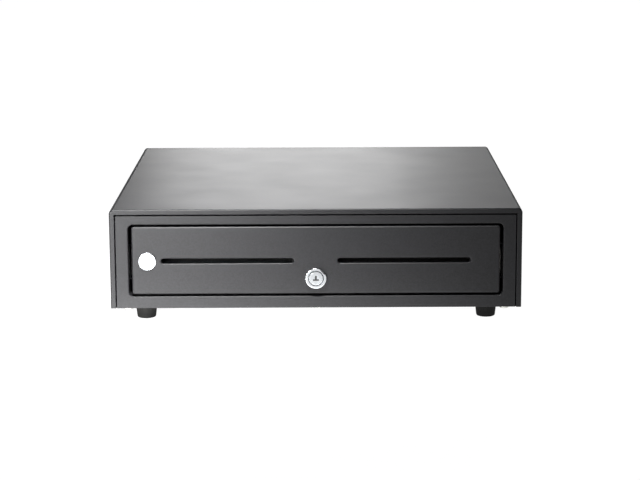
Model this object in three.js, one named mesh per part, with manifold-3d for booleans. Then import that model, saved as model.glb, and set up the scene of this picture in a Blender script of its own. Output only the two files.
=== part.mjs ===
// Cash drawer: steel case with a slide-out drawer, a lift-out till, a key lock and a solenoid latch.
// Millimetres, +Z up, front facing -Y. z = 0 is the surface under the feet.
import * as THREE from 'three';
import { mergeVertices } from 'three/addons/utils/BufferGeometryUtils.js';
import Module from 'manifold-3d';

const wasm = await Module();
wasm.setup();

// ---------- driving sizes ----------
const GAP = 0.3;                 // stands between pieces that touch
const RUN = 0.3;                 // radial clearance of a turning or sliding fit

const CASE_W = 411;
const CASE_D = 412;
const CASE_H = 100.4;
const FOOT_H = 12.5;
const COVER_T = 1.2;
const COVER_BEND_R = 4.5;        // outer bend between top and sides
const SIDE_LIP = 5.1;            // width of the cover's folded front lip at the sides
const TOP_LIP = 5.2;
const REAR_LIP = 12;
const PAN_T = 1.2;
const PAN_FLANGE_H = 25;

const BEZEL_T = 1.5;
const BEZEL_SET_BACK = 0.8;      // bezel face behind the cover's lip
const BEZEL_JOINT_X = 0.9;       // open joint between lip and bezel, sides
const BEZEL_JOINT_Z = 1.2;       // and top
const COLLAR_T = 1.2;
const COLLAR_D = 14;             // depth of the folded collars, from the bezel face
const OPENING_R = 5;
const RAIL_SIDE = 18.5;          // case side to opening
const RAIL_BOTTOM = 12;
const RAIL_TOP = 15.4;
const BEZEL_FLOOR_D = 24;

const FRONT_GAP_X = 3.3;         // gap between drawer front and opening
const FRONT_GAP_Z = 2.2;
const FRONT_T = 1.5;
const FRONT_R = 2.3;
const FRONT_RETURN_D = 12;
const SLOT_L = 132.6;
const SLOT_H = 5;
const SLOT_INNER_X = 21.8;       // drawer's middle to the slot's near end
const SLOT_BELOW_MIDDLE = 0.5;   // slots and badge below the drawer front's middle line
const SLEEVE_T = 1.2;

const LOCK_UP = 18.6;             // lock's axis above the opening's bottom
const LOCK_PROUD = 3.9;          // ring's face in front of the drawer front
const BARREL_R = 9;
const LOCK_FLANGE = 1.45;        // ring past the barrel, so that it seats on the drawer front
const LOCK_RING_R = BARREL_R + LOCK_FLANGE;
const BARREL_REAR = 15.2;        // barrel's rear end behind the drawer front's face
const PLUG_R = 7.35;
const PLUG_SHANK = 6;            // square shank across flats
const CAM_T = 2;
const CAM_REACH = 24;
const CAM_W = 9;
const NUT_T = 4;
const NUT_WALL = 3;              // nut past the barrel, at its flats
const NUT_AF = 2 * (BARREL_R + NUT_WALL);

const BADGE_R = 9.1;
const BADGE_T = 1;
const BADGE_INSET = 15.4;        // badge's centre from the drawer front's left edge

const TRAY_T = 1;
const TRAY_UP = 4.5;             // tray's floor above the opening's bottom
const TRAY_HEADROOM = 9;         // tray's rim below the opening's top
const TRAY_FRONT_Y = 24;         // tray's front wall behind the case's front plane
const MECH_ROOM = 66;            // left for the latch behind the tray

const SLIDE_UP = 27.5;           // slide's axis above the tray's floor
const SLIDE_T = 12.7;            // thickness of the whole slide
const SLIDE_PAST_TRAY = 17;
const SLIDE_FRONT_Y = 18;
const SLIDE_SIDE = 17.5;         // case side to the slide's case-side face
const OUTER_H = 36;
const MIDDLE_H = 26;
const INNER_H = 19.2;
const SLIDE_WALL = 1.2;
const CAGE_T = 0.6;
const TRAY_KEPT_IN = 22;         // of the tray's length, with the drawer fully open
const BRACKET_T = 1.5;

const TILL_H = 42;
const TILL_BELOW_RIM = 2;        // till's rim below the tray's
const TILL_T = 2.4;
const TILL_SIDE_GAP = 2.5;
const TILL_FRONT_GAP = 14;      // room for slips to drop under the till
const TILL_REAR_GAP = 9;
const COIN_L = 104;
const POCKETS = 5;
const POCKET_R = 6;
const TILL_RAIL_W = 7;
const CLIP_ROD_R = 2;
const CLIP_ROD_DROP = 4;         // rod's axis below the till's rim
const CLIP_L = 95;
const CLIP_W = 15;
const CLIP_TIP_W = 34;
const CLIP_TIP_R = 3;

const FOOT_INSET_X = 34.25;
const FOOT_INSET_FRONT = 18.5;
const FOOT_INSET_REAR = 30;
const FOOT_TOP_R = 10.35;
const FOOT_BOTTOM_R = 9.5;
const FOOT_RECESS_R = 4.6;

const BEZEL_SCREW_INSET = 16.5;
const BEZEL_SCREW_Y = 9;
const CATCH_SCREW_X = 3.3;
const CATCH_SCREW_Y = 7;
const REAR_SCREW_INSET = 55.5;
const REAR_PROUD = 2.3;          // rear screw heads behind the case
const JACK_X = -140;
const JACK_Z = 14;
const JACK_W = 16;
const JACK_H = 14;
const JACK_D = 19;

const LATCH_PLATE_T = 1.5;
const PIVOT_X = 16;
const PIVOT_BACK = 46;           // hook's pivot behind the tray
const PIVOT_R = 3;
const HOOK_Z = 21;
const HOOK_T = 3;
const HOOK_SWING = THREE.MathUtils.degToRad(17);   // released, as stored, against latched
const STRIKE_BACK = 14;          // strike pin behind the tray
const STRIKE_PIN_R = 2.5;
const PEG_DX = -2;               // drive peg from the pivot, latched
const PEG_DY = -20;
const PEG_R = 1.5;
const PLUNGER_R = 5;
const PLUNGER_Z = 26;
const COIL_R = 10.5;
const FRAME_X0 = 44;
const FRAME_L = 48;
const FRAME_T = 2;
const EJECT_X = -90;
const EJECT_Z = 40;
const EJECT_R = 4;
const SWITCH_PIVOT_X = -1;
const SWITCH_BACK = 48;          // lever's pivot behind the tray
const LEVER_L = 23;
const LEVER_LEAN = THREE.MathUtils.degToRad(30.3);

// ---------- places worked out from them ----------
const HALF_W = CASE_W / 2;
const Z0 = FOOT_H;                                  // case's bottom edge
const ZTOP = FOOT_H + CASE_H;
const LOCK_AHEAD = LOCK_PROUD - BEZEL_SET_BACK;
const FY = -(LOCK_AHEAD + CASE_D + REAR_PROUD) / 2 + LOCK_AHEAD;   // case's front plane
const FACE_Y = FY + BEZEL_SET_BACK;                 // bezel and drawer front faces
const REAR_Y = FY + CASE_D;
const OPEN_X = HALF_W - RAIL_SIDE;
const OPEN_Z0 = Z0 + RAIL_BOTTOM;
const OPEN_Z1 = ZTOP - RAIL_TOP;
const BEZEL_X = HALF_W - SIDE_LIP - BEZEL_JOINT_X;
const BEZEL_Z1 = ZTOP - TOP_LIP - BEZEL_JOINT_Z;
const FRONT_X = OPEN_X - FRONT_GAP_X;
const FRONT_Z0 = OPEN_Z0 + FRONT_GAP_Z;
const FRONT_Z1 = OPEN_Z1 - FRONT_GAP_Z;
const PAN_X = HALF_W - COVER_T - GAP;
const WALL_Y1 = REAR_Y - COVER_T - GAP;             // rear wall's outer face
const PAN_TOP = Z0 + PAN_T;
const SEAT_Z = PAN_TOP + GAP;                       // underside of what stands on the pan
const SLIDE_X1 = HALF_W - SLIDE_SIDE;
const SLIDE_X0 = SLIDE_X1 - SLIDE_T;
const TRAY_X = SLIDE_X0 - GAP;
const TRAY_Z0 = OPEN_Z0 + TRAY_UP;
const TRAY_Z1 = OPEN_Z1 - TRAY_HEADROOM;
const TRAY_Y0 = FY + TRAY_FRONT_Y;
const TRAY_Y1 = REAR_Y - MECH_ROOM;
const TRAVEL = TRAY_Y1 - TRAY_Y0 - TRAY_KEPT_IN;    // how far the drawer opens
const SLIDE_CZ = TRAY_Z0 + SLIDE_UP;
const SLIDE_Y0 = FY + SLIDE_FRONT_Y;
const SLIDE_Y1 = TRAY_Y1 + SLIDE_PAST_TRAY;
const LOCK_CZ = OPEN_Z0 + LOCK_UP;
const LOCK_FRONT_Y = FACE_Y - LOCK_PROUD;
const BARREL_Y1 = FACE_Y + BARREL_REAR;
const CAM_Y0 = BARREL_Y1 + 2 * GAP;
const SLOT_CX = SLOT_INNER_X + SLOT_L / 2;
const SLOT_CZ = (FRONT_Z0 + FRONT_Z1) / 2 - SLOT_BELOW_MIDDLE;
const BADGE_X = -FRONT_X + BADGE_INSET;
const TILL_X = TRAY_X - TRAY_T - TILL_SIDE_GAP;
const TILL_Y0 = TRAY_Y0 + TILL_FRONT_GAP;
const TILL_Y1 = TRAY_Y1 - TILL_REAR_GAP;
const TILL_Z1 = TRAY_Z1 - TILL_BELOW_RIM;
const TILL_Z0 = TILL_Z1 - TILL_H;
const ROD_Z = TILL_Z1 - CLIP_ROD_DROP;
const ROD_Y = TILL_Y1 - TILL_T - CLIP_ROD_R - 3;
const FOOT_X = HALF_W - FOOT_INSET_X;
const BEZEL_SCREW_X = HALF_W - BEZEL_SCREW_INSET;
const REAR_SCREW_X = HALF_W - REAR_SCREW_INSET;
const PIVOT_Y = TRAY_Y1 + PIVOT_BACK;
const STRIKE_Y = TRAY_Y1 + STRIKE_BACK;
const SWITCH_PIVOT_Y = TRAY_Y1 + SWITCH_BACK;

// ---------- materials ----------
function material(color, roughness, metalness) {
  return new THREE.MeshStandardMaterial({ color, roughness, metalness });
}
const POWDER_BLACK = material('#2b2b2d', 0.5, 0.2);
const ZINC_STEEL = material('#a9abab', 0.4, 0.9);
const CHROME = material('#d8dadb', 0.15, 1);
const BLACK_ABS = material('#232324', 0.55, 0);
const RUBBER = material('#1c1c1c', 0.85, 0);
const WHITE_DISC = material('#dfe2e3', 0.35, 0.3);
const COIL_TAPE = material('#7a5a2a', 0.6, 0.1);
const SPRING_STEEL = material('#8f9294', 0.3, 1);
const SHEATH_PVC = material('#3a3a3c', 0.6, 0);

// ---------- shape helpers ----------
const object = new THREE.Group();

function add(name, geometry, finish) {
  const mesh = new THREE.Mesh(geometry, finish.clone());
  mesh.name = name;
  object.add(mesh);
  return mesh;
}

// A box between two corners.
function block(x0, x1, y0, y1, z0, z1) {
  const geometry = new THREE.BoxGeometry(x1 - x0, y1 - y0, z1 - z0);
  return geometry.translate((x0 + x1) / 2, (y0 + y1) / 2, (z0 + z1) / 2);
}

// The same box on the side +1 or -1 of the middle plane.
function sideBlock(side, x0, x1, y0, y1, z0, z1) {
  return side > 0 ? block(x0, x1, y0, y1, z0, z1) : block(-x1, -x0, y0, y1, z0, z1);
}

// A shape drawn in the plane across an axis, extruded along it. x: (y, z), y: (x, z), z: (x, y).
function prism(axis, shape, from, to, curveSegments = 4) {
  const options = { depth: to - from, bevelEnabled: false, curveSegments };
  const geometry = new THREE.ExtrudeGeometry(shape, options);
  const X = new THREE.Vector3(1, 0, 0);
  const Y = new THREE.Vector3(0, 1, 0);
  const Z = new THREE.Vector3(0, 0, 1);
  const turn = new THREE.Matrix4();
  if (axis === 'x') {
    turn.makeBasis(Y, Z, X);
    geometry.applyMatrix4(turn).translate(from, 0, 0);
  } else if (axis === 'y') {
    turn.makeBasis(X, Z, Y.negate());
    geometry.applyMatrix4(turn).translate(0, to, 0);
  } else {
    geometry.translate(0, 0, from);
  }
  return geometry;
}

function roundedRect(u0, u1, v0, v1, r) {
  const shape = new THREE.Shape();
  shape.moveTo(u0 + r, v0);
  shape.lineTo(u1 - r, v0);
  shape.absarc(u1 - r, v0 + r, r, -Math.PI / 2, 0);
  shape.lineTo(u1, v1 - r);
  shape.absarc(u1 - r, v1 - r, r, 0, Math.PI / 2);
  shape.lineTo(u0 + r, v1);
  shape.absarc(u0 + r, v1 - r, r, Math.PI / 2, Math.PI);
  shape.lineTo(u0, v0 + r);
  shape.absarc(u0 + r, v0 + r, r, Math.PI, Math.PI * 1.5);
  return shape;
}

// A rectangle with square bottom corners and round top corners.
function archRect(u0, u1, v0, v1, r) {
  const shape = new THREE.Shape();
  shape.moveTo(u0, v0);
  shape.lineTo(u1, v0);
  shape.lineTo(u1, v1 - r);
  shape.absarc(u1 - r, v1 - r, r, 0, Math.PI / 2);
  shape.lineTo(u0 + r, v1);
  shape.absarc(u0 + r, v1 - r, r, Math.PI / 2, Math.PI);
  return shape;
}

// A round bar along an axis; u and v are its centre across the axis, as in prism().
function bar(axis, u, v, r, from, to, sides = 16) {
  const shape = new THREE.Shape();
  for (let i = 0; i < sides; i += 1) {
    const angle = (2 * Math.PI * (i + 0.5)) / sides;
    const point = [u + r * Math.cos(angle), v + r * Math.sin(angle)];
    if (i === 0) shape.moveTo(...point);
    else shape.lineTo(...point);
  }
  return prism(axis, shape, from, to);
}

function polygon(points) {
  const shape = new THREE.Shape();
  points.forEach(([u, v], i) => (i === 0 ? shape.moveTo(u, v) : shape.lineTo(u, v)));
  return shape;
}

// A turned piece standing along z: points are [radius, z].
function turned(points, x, y, sides = 24) {
  const profile = points.map(([r, z]) => new THREE.Vector2(r, z));
  return new THREE.LatheGeometry(profile, sides).rotateX(Math.PI / 2).translate(x, y, 0);
}

function solid(geometry) {
  const bare = geometry.clone();
  bare.deleteAttribute('normal');
  bare.deleteAttribute('uv');
  const merged = mergeVertices(bare, 1e-4);
  return new wasm.Manifold(new wasm.Mesh({
    numProp: 3,
    vertProperties: new Float32Array(merged.attributes.position.array),
    triVerts: new Uint32Array(merged.index.array),
  }));
}

function toGeometry(manifold) {
  const mesh = manifold.getMesh();
  const geometry = new THREE.BufferGeometry();
  geometry.setAttribute('position', new THREE.BufferAttribute(mesh.vertProperties, 3));
  geometry.setIndex(new THREE.BufferAttribute(mesh.triVerts, 1));
  return geometry;
}

function join(...parts) {
  return toGeometry(parts.map(solid).reduce((whole, part) => whole.add(part)));
}

function cut(body, ...tools) {
  return toGeometry(tools.map(solid).reduce((whole, tool) => whole.subtract(tool), solid(body)));
}

// A pan-head screw along z, head down at headZ, shank up to topZ.
function screwUp(x, y, headR, headT, shankR, headTopZ, topZ) {
  const head = bar('z', x, y, headR, headTopZ - headT, headTopZ, 12);
  const shank = bar('z', x, y, shankR, headTopZ - headT / 2, topZ, 8);
  return join(head, shank);
}

// A helical spring along an axis, centred on (u, v) across it.
function spring(axis, u, v, coilR, wireR, from, to, turns) {
  const points = [];
  const steps = turns * 8;
  for (let i = 0; i <= steps; i += 1) {
    const angle = (2 * Math.PI * i) / 8;
    const along = from + wireR + ((to - from - 2 * wireR) * i) / steps;
    const a = u + coilR * Math.cos(angle);
    const b = v + coilR * Math.sin(angle);
    if (axis === 'x') points.push(new THREE.Vector3(along, a, b));
    else points.push(new THREE.Vector3(a, along, b));
  }
  const path = new THREE.CatmullRomCurve3(points);
  const wire = polygon([[-wireR, 0], [0, -wireR], [wireR, 0], [0, wireR]]);
  const options = { steps, bevelEnabled: false, extrudePath: path };
  return new THREE.ExtrudeGeometry(wire, options);
}

// ---------- case ----------
function caseCover() {
  const outer = archRect(-HALF_W, HALF_W, Z0, ZTOP, COVER_BEND_R);
  const skin = prism('y', outer, FY, REAR_Y);
  const below = Z0 - 1;
  const roomX = HALF_W - COVER_T;
  const room = archRect(-roomX, roomX, below, ZTOP - COVER_T, COVER_BEND_R - COVER_T);
  const space = prism('y', room, FY + COVER_T, REAR_Y - COVER_T);
  const mouthX = HALF_W - SIDE_LIP;
  const mouth = block(-mouthX, mouthX, FY - 1, FY + 2 * COVER_T, below, ZTOP - TOP_LIP);
  const rearX = HALF_W - REAR_LIP;
  const rear = block(-rearX, rearX, REAR_Y - 2 * COVER_T, REAR_Y + 1, below, ZTOP - REAR_LIP);
  const holes = [-1, 1].map((side) => rearScrewHole(side));
  return cut(skin, space, mouth, rear, ...holes);
}

function rearScrewHole(side) {
  return bar('y', side * REAR_SCREW_X, ZTOP - REAR_LIP / 2, 1.8, WALL_Y1 - PAN_T - 1, REAR_Y + 1, 8);
}

function basePan() {
  const y0 = FACE_Y + BEZEL_T + GAP;
  const floor = block(-PAN_X, PAN_X, y0, WALL_Y1, Z0, PAN_TOP);
  const wallShape = archRect(-PAN_X, PAN_X, Z0, ZTOP - COVER_T - GAP, COVER_BEND_R);
  const wall = prism('y', wallShape, WALL_Y1 - PAN_T, WALL_Y1);
  const flanges = [-1, 1].map((side) => (
    sideBlock(side, PAN_X - PAN_T, PAN_X, y0, WALL_Y1, Z0, Z0 + PAN_FLANGE_H)));
  const holes = [
    block(JACK_X - JACK_W / 2 - GAP, JACK_X + JACK_W / 2 + GAP, WALL_Y1 - 4, WALL_Y1 + 1,
      Z0 + JACK_Z - GAP, Z0 + JACK_Z + JACK_H + GAP),
  ];
  for (const side of [-1, 1]) {
    holes.push(rearScrewHole(side));
    holes.push(bar('z', side * BEZEL_SCREW_X, FY + BEZEL_SCREW_Y, 2.3, Z0 - 1, SEAT_Z, 8));
    holes.push(bar('z', side * CATCH_SCREW_X, FY + CATCH_SCREW_Y, 1.6, Z0 - 1, SEAT_Z, 8));
  }
  return cut(join(floor, wall, ...flanges), ...holes);
}

function frontBezel() {
  const plate = block(-BEZEL_X, BEZEL_X, FACE_Y, FACE_Y + BEZEL_T, Z0, BEZEL_Z1);
  const collarY1 = FACE_Y + COLLAR_D;
  const innerX = BEZEL_X - COLLAR_T;
  const rim = block(-BEZEL_X, BEZEL_X, FACE_Y + BEZEL_T / 2, collarY1, SEAT_Z, BEZEL_Z1);
  const rimSpace = block(-innerX, innerX, FACE_Y + BEZEL_T, collarY1 + 1,
    SEAT_Z + COLLAR_T, BEZEL_Z1 - COLLAR_T);
  const floor = block(-BEZEL_X, BEZEL_X, FACE_Y + BEZEL_T / 2, FY + BEZEL_FLOOR_D,
    SEAT_Z, SEAT_Z + COLLAR_T);
  const sleeve = roundedRect(-OPEN_X - COLLAR_T, OPEN_X + COLLAR_T, OPEN_Z0 - COLLAR_T,
    OPEN_Z1 + COLLAR_T, OPENING_R + COLLAR_T);
  const opening = roundedRect(-OPEN_X, OPEN_X, OPEN_Z0, OPEN_Z1, OPENING_R);
  const shell = join(cut(join(plate, rim), rimSpace), floor,
    prism('y', sleeve, FACE_Y + BEZEL_T / 2, collarY1));
  const holes = [prism('y', opening, FACE_Y - 1, collarY1 + 1)];
  for (const side of [-1, 1]) {
    holes.push(bar('z', side * BEZEL_SCREW_X, FY + BEZEL_SCREW_Y, 2.3, Z0, SEAT_Z + 2 * COLLAR_T, 8));
    holes.push(bar('z', side * CATCH_SCREW_X, FY + CATCH_SCREW_Y, 1.6, Z0, SEAT_Z + 2 * COLLAR_T, 8));
  }
  return cut(shell, ...holes);
}

const FOOT_TOP = Z0 - GAP;
function foot(x, y) {
  const bottomEdge = 1.6;
  const profile = [
    [FOOT_RECESS_R, 0], [FOOT_BOTTOM_R - bottomEdge, 0], [FOOT_BOTTOM_R, bottomEdge],
    [FOOT_TOP_R, FOOT_TOP - 0.6], [FOOT_TOP_R - 0.6, FOOT_TOP], [2.3, FOOT_TOP],
    [2.3, FOOT_TOP - 4], [FOOT_RECESS_R, FOOT_TOP - 4], [FOOT_RECESS_R, 0],
  ];
  return turned(profile, x, y, 24);
}

add('case_cover', caseCover(), POWDER_BLACK);
add('base_pan', basePan(), POWDER_BLACK);
add('front_bezel', frontBezel(), POWDER_BLACK);
for (const [sideName, side] of [['left', -1], ['right', 1]]) {
  add(`foot_front_${sideName}`, foot(side * FOOT_X, FY + FOOT_INSET_FRONT), RUBBER);
  add(`foot_rear_${sideName}`, foot(side * FOOT_X, REAR_Y - FOOT_INSET_REAR), RUBBER);
  const bezelScrew = screwUp(side * BEZEL_SCREW_X, FY + BEZEL_SCREW_Y, 4.8, 2.2, 2, Z0 - GAP,
    SEAT_Z + COLLAR_T + 3);
  add(`bezel_screw_${sideName}`, bezelScrew, ZINC_STEEL);
  const catchScrew = screwUp(side * CATCH_SCREW_X, FY + CATCH_SCREW_Y, 2.4, 1.5, 1.3, Z0 - GAP,
    SEAT_Z + COLLAR_T + 4);
  add(`catch_screw_${sideName}`, catchScrew, ZINC_STEEL);
  const screwX = side * REAR_SCREW_X;
  const screwZ = ZTOP - REAR_LIP / 2;
  const head = bar('y', screwX, screwZ, 3.4, REAR_Y + GAP, REAR_Y + REAR_PROUD, 16);
  const shank = bar('y', screwX, screwZ, 1.5, WALL_Y1 - PAN_T - 4, REAR_Y + 1, 8);
  add(`cover_screw_${sideName}`, join(head, shank), ZINC_STEEL);
}

// ---------- lock catch, standing on the bezel's floor flange behind its bottom rail ----------
function lockCatch() {
  const seat = SEAT_Z + COLLAR_T + GAP;
  const halfW = 16;
  const uprightY0 = FACE_Y + COLLAR_D + GAP;
  const uprightY1 = CAM_Y0 - GAP;
  const foot = block(-halfW, halfW, FACE_Y + BEZEL_T + 1, uprightY1, seat, seat + 1.4);
  const upright = block(-halfW, halfW, uprightY0, uprightY1, seat, OPEN_Z0 - 1);
  const holes = [-1, 1].map((side) => (
    bar('z', side * CATCH_SCREW_X, FY + CATCH_SCREW_Y, 1.6, seat - 1, seat + 3, 8)));
  return cut(join(foot, upright), ...holes);
}
add('lock_catch', lockCatch(), ZINC_STEEL);

// ---------- drawer ----------
function slotShape(halfExtra) {
  const halfH = SLOT_H / 2 + halfExtra;
  return (cx) => roundedRect(cx - SLOT_L / 2 - halfExtra, cx + SLOT_L / 2 + halfExtra,
    SLOT_CZ - halfH, SLOT_CZ + halfH, halfH - 0.01);
}

function drawerFront() {
  const outline = roundedRect(-FRONT_X, FRONT_X, FRONT_Z0, FRONT_Z1, FRONT_R);
  const inset = 1.2;
  const inside = roundedRect(-FRONT_X + inset, FRONT_X - inset, FRONT_Z0 + inset,
    FRONT_Z1 - inset, FRONT_R - inset);
  const shell = prism('y', outline, FACE_Y, FACE_Y + FRONT_RETURN_D);
  const space = prism('y', inside, FACE_Y + FRONT_T, FACE_Y + FRONT_RETURN_D + 1);
  const holes = [-1, 1].map((side) => (
    prism('y', slotShape(0)(side * SLOT_CX), FACE_Y - 1, FACE_Y + 4)));
  const lockHole = bar('y', 0, LOCK_CZ, BARREL_R + GAP, FACE_Y - 1, FACE_Y + 4, 24);
  return cut(shell, space, lockHole, ...holes);
}

const SLEEVE_Y0 = FACE_Y + FRONT_T + GAP;
const SLEEVE_Y1 = TRAY_Y0 + TRAY_T + 3;
const SLEEVE_ROOM = 0.3;         // sleeve's opening beyond the slot's edge
function mediaSleeve(side) {
  const outer = slotShape(SLEEVE_ROOM + SLEEVE_T)(side * SLOT_CX);
  const inner = slotShape(SLEEVE_ROOM)(side * SLOT_CX);
  return cut(prism('y', outer, SLEEVE_Y0, SLEEVE_Y1), prism('y', inner, SLEEVE_Y0 - 1, SLEEVE_Y1 + 1));
}

function drawerTray() {
  const z0 = TRAY_Z0;
  const z1 = TRAY_Z1;
  const wingY0 = FACE_Y + FRONT_T + GAP;
  const floor = block(-TRAY_X, TRAY_X, TRAY_Y0, TRAY_Y1, z0, z0 + TRAY_T);
  const walls = [-1, 1].map((side) => (
    sideBlock(side, TRAY_X - TRAY_T, TRAY_X, wingY0, TRAY_Y1, z0, z1)));
  const front = block(-TRAY_X, TRAY_X, TRAY_Y0, TRAY_Y0 + TRAY_T, z0, z1);
  const rear = block(-TRAY_X, TRAY_X, TRAY_Y1 - TRAY_T, TRAY_Y1, z0, z1);
  const holes = [-1, 1].map((side) => (
    prism('y', slotShape(SLEEVE_ROOM + SLEEVE_T + GAP)(side * SLOT_CX), TRAY_Y0 - 1, TRAY_Y0 + 3)));
  return cut(join(floor, ...walls, front, rear), ...holes);
}

add('drawer_front', drawerFront(), POWDER_BLACK);
add('drawer_tray', drawerTray(), POWDER_BLACK);
add('badge', bar('y', BADGE_X, SLOT_CZ, BADGE_R, FACE_Y - GAP - BADGE_T, FACE_Y - GAP, 32), WHITE_DISC);
for (const [sideName, side] of [['left', -1], ['right', 1]]) {
  add(`media_sleeve_${sideName}`, mediaSleeve(side), BLACK_ABS);
  const railOuterX = TRAY_X - TRAY_T - GAP;
  const railZ1 = TILL_Z0 - GAP;
  const leg = sideBlock(side, railOuterX - 1.2, railOuterX, TILL_Y0, TILL_Y1, railZ1 - 8, railZ1);
  const ledge = sideBlock(side, railOuterX - TILL_RAIL_W, railOuterX, TILL_Y0, TILL_Y1, railZ1 - 1.2, railZ1);
  add(`till_rail_${sideName}`, join(leg, ledge), POWDER_BLACK);
}

// ---------- lock ----------
function lockBarrel() {
  const ring = bar('y', 0, LOCK_CZ, LOCK_RING_R, LOCK_FRONT_Y, FACE_Y - GAP, 32);
  const body = bar('y', 0, LOCK_CZ, BARREL_R, LOCK_FRONT_Y + 1, BARREL_Y1, 24);
  const bore = bar('y', 0, LOCK_CZ, PLUG_R + RUN, LOCK_FRONT_Y - 1, BARREL_Y1 + 1, 24);
  return cut(join(ring, body), bore);
}

function lockNut() {
  const y0 = FACE_Y + FRONT_T + GAP;
  const hex = bar('y', 0, LOCK_CZ, NUT_AF / 2 / Math.cos(Math.PI / 6), y0, y0 + NUT_T, 6);
  return cut(hex, bar('y', 0, LOCK_CZ, BARREL_R + GAP, y0 - 1, y0 + NUT_T + 1, 24));
}

const PLUG_FRONT_Y = LOCK_FRONT_Y + 0.4;
const SHANK_Y1 = CAM_Y0 + CAM_T + GAP;
function lockPlug() {
  const barrel = bar('y', 0, LOCK_CZ, PLUG_R, PLUG_FRONT_Y, BARREL_Y1, 24);
  const half = PLUG_SHANK / 2;
  const shank = block(-half, half, BARREL_Y1 - 1, SHANK_Y1, LOCK_CZ - half, LOCK_CZ + half);
  const keyDepth = 9;
  const slot = block(-1.1, 1.1, PLUG_FRONT_Y - 1, PLUG_FRONT_Y + keyDepth, LOCK_CZ - 2.5, LOCK_CZ + 2.5);
  const foot = block(-3, 3, PLUG_FRONT_Y - 1, PLUG_FRONT_Y + keyDepth, LOCK_CZ - 2.5, LOCK_CZ - 1);
  const thread = bar('y', 0, LOCK_CZ, 1.7, SHANK_Y1 - 7, SHANK_Y1 + 1, 8);
  return cut(join(barrel, shank), join(slot, foot), thread);
}

function lockCam() {
  const hub = bar('y', 0, LOCK_CZ, 8, CAM_Y0, CAM_Y0 + CAM_T, 20);
  const tongue = block(0, CAM_REACH, CAM_Y0, CAM_Y0 + CAM_T, LOCK_CZ - CAM_W / 2, LOCK_CZ + CAM_W / 2);
  const half = PLUG_SHANK / 2 + GAP;
  const square = block(-half, half, CAM_Y0 - 1, CAM_Y0 + CAM_T + 1, LOCK_CZ - half, LOCK_CZ + half);
  return cut(join(hub, tongue), square);
}

function camScrew() {
  const head = bar('y', 0, LOCK_CZ, 4.6, SHANK_Y1 + GAP, SHANK_Y1 + GAP + 1.8, 16);
  const shank = bar('y', 0, LOCK_CZ, 1.4, SHANK_Y1 - 6, SHANK_Y1 + 1, 8);
  return join(head, shank);
}

add('lock_barrel', lockBarrel(), CHROME);
add('lock_nut', lockNut(), ZINC_STEEL);
add('lock_plug', lockPlug(), CHROME);
add('lock_cam', lockCam(), ZINC_STEEL);
add('cam_screw', camScrew(), ZINC_STEEL);

// ---------- ball-bearing slides ----------
// A channel of height h between x0 (open side) and x1 (web), on one side of the drawer.
function channel(side, xOpen, xWeb, h, wall, y0, y1) {
  const low = Math.min(xOpen, xWeb);
  const high = Math.max(xOpen, xWeb);
  const body = sideBlock(side, low, high, y0, y1, SLIDE_CZ - h / 2, SLIDE_CZ + h / 2);
  const spaceLow = xOpen < xWeb ? low - 1 : low + wall;
  const spaceHigh = xOpen < xWeb ? high - wall : high + 1;
  const space = sideBlock(side, spaceLow, spaceHigh, y0 - 1, y1 + 1,
    SLIDE_CZ - h / 2 + wall, SLIDE_CZ + h / 2 - wall);
  return cut(body, space);
}

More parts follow.
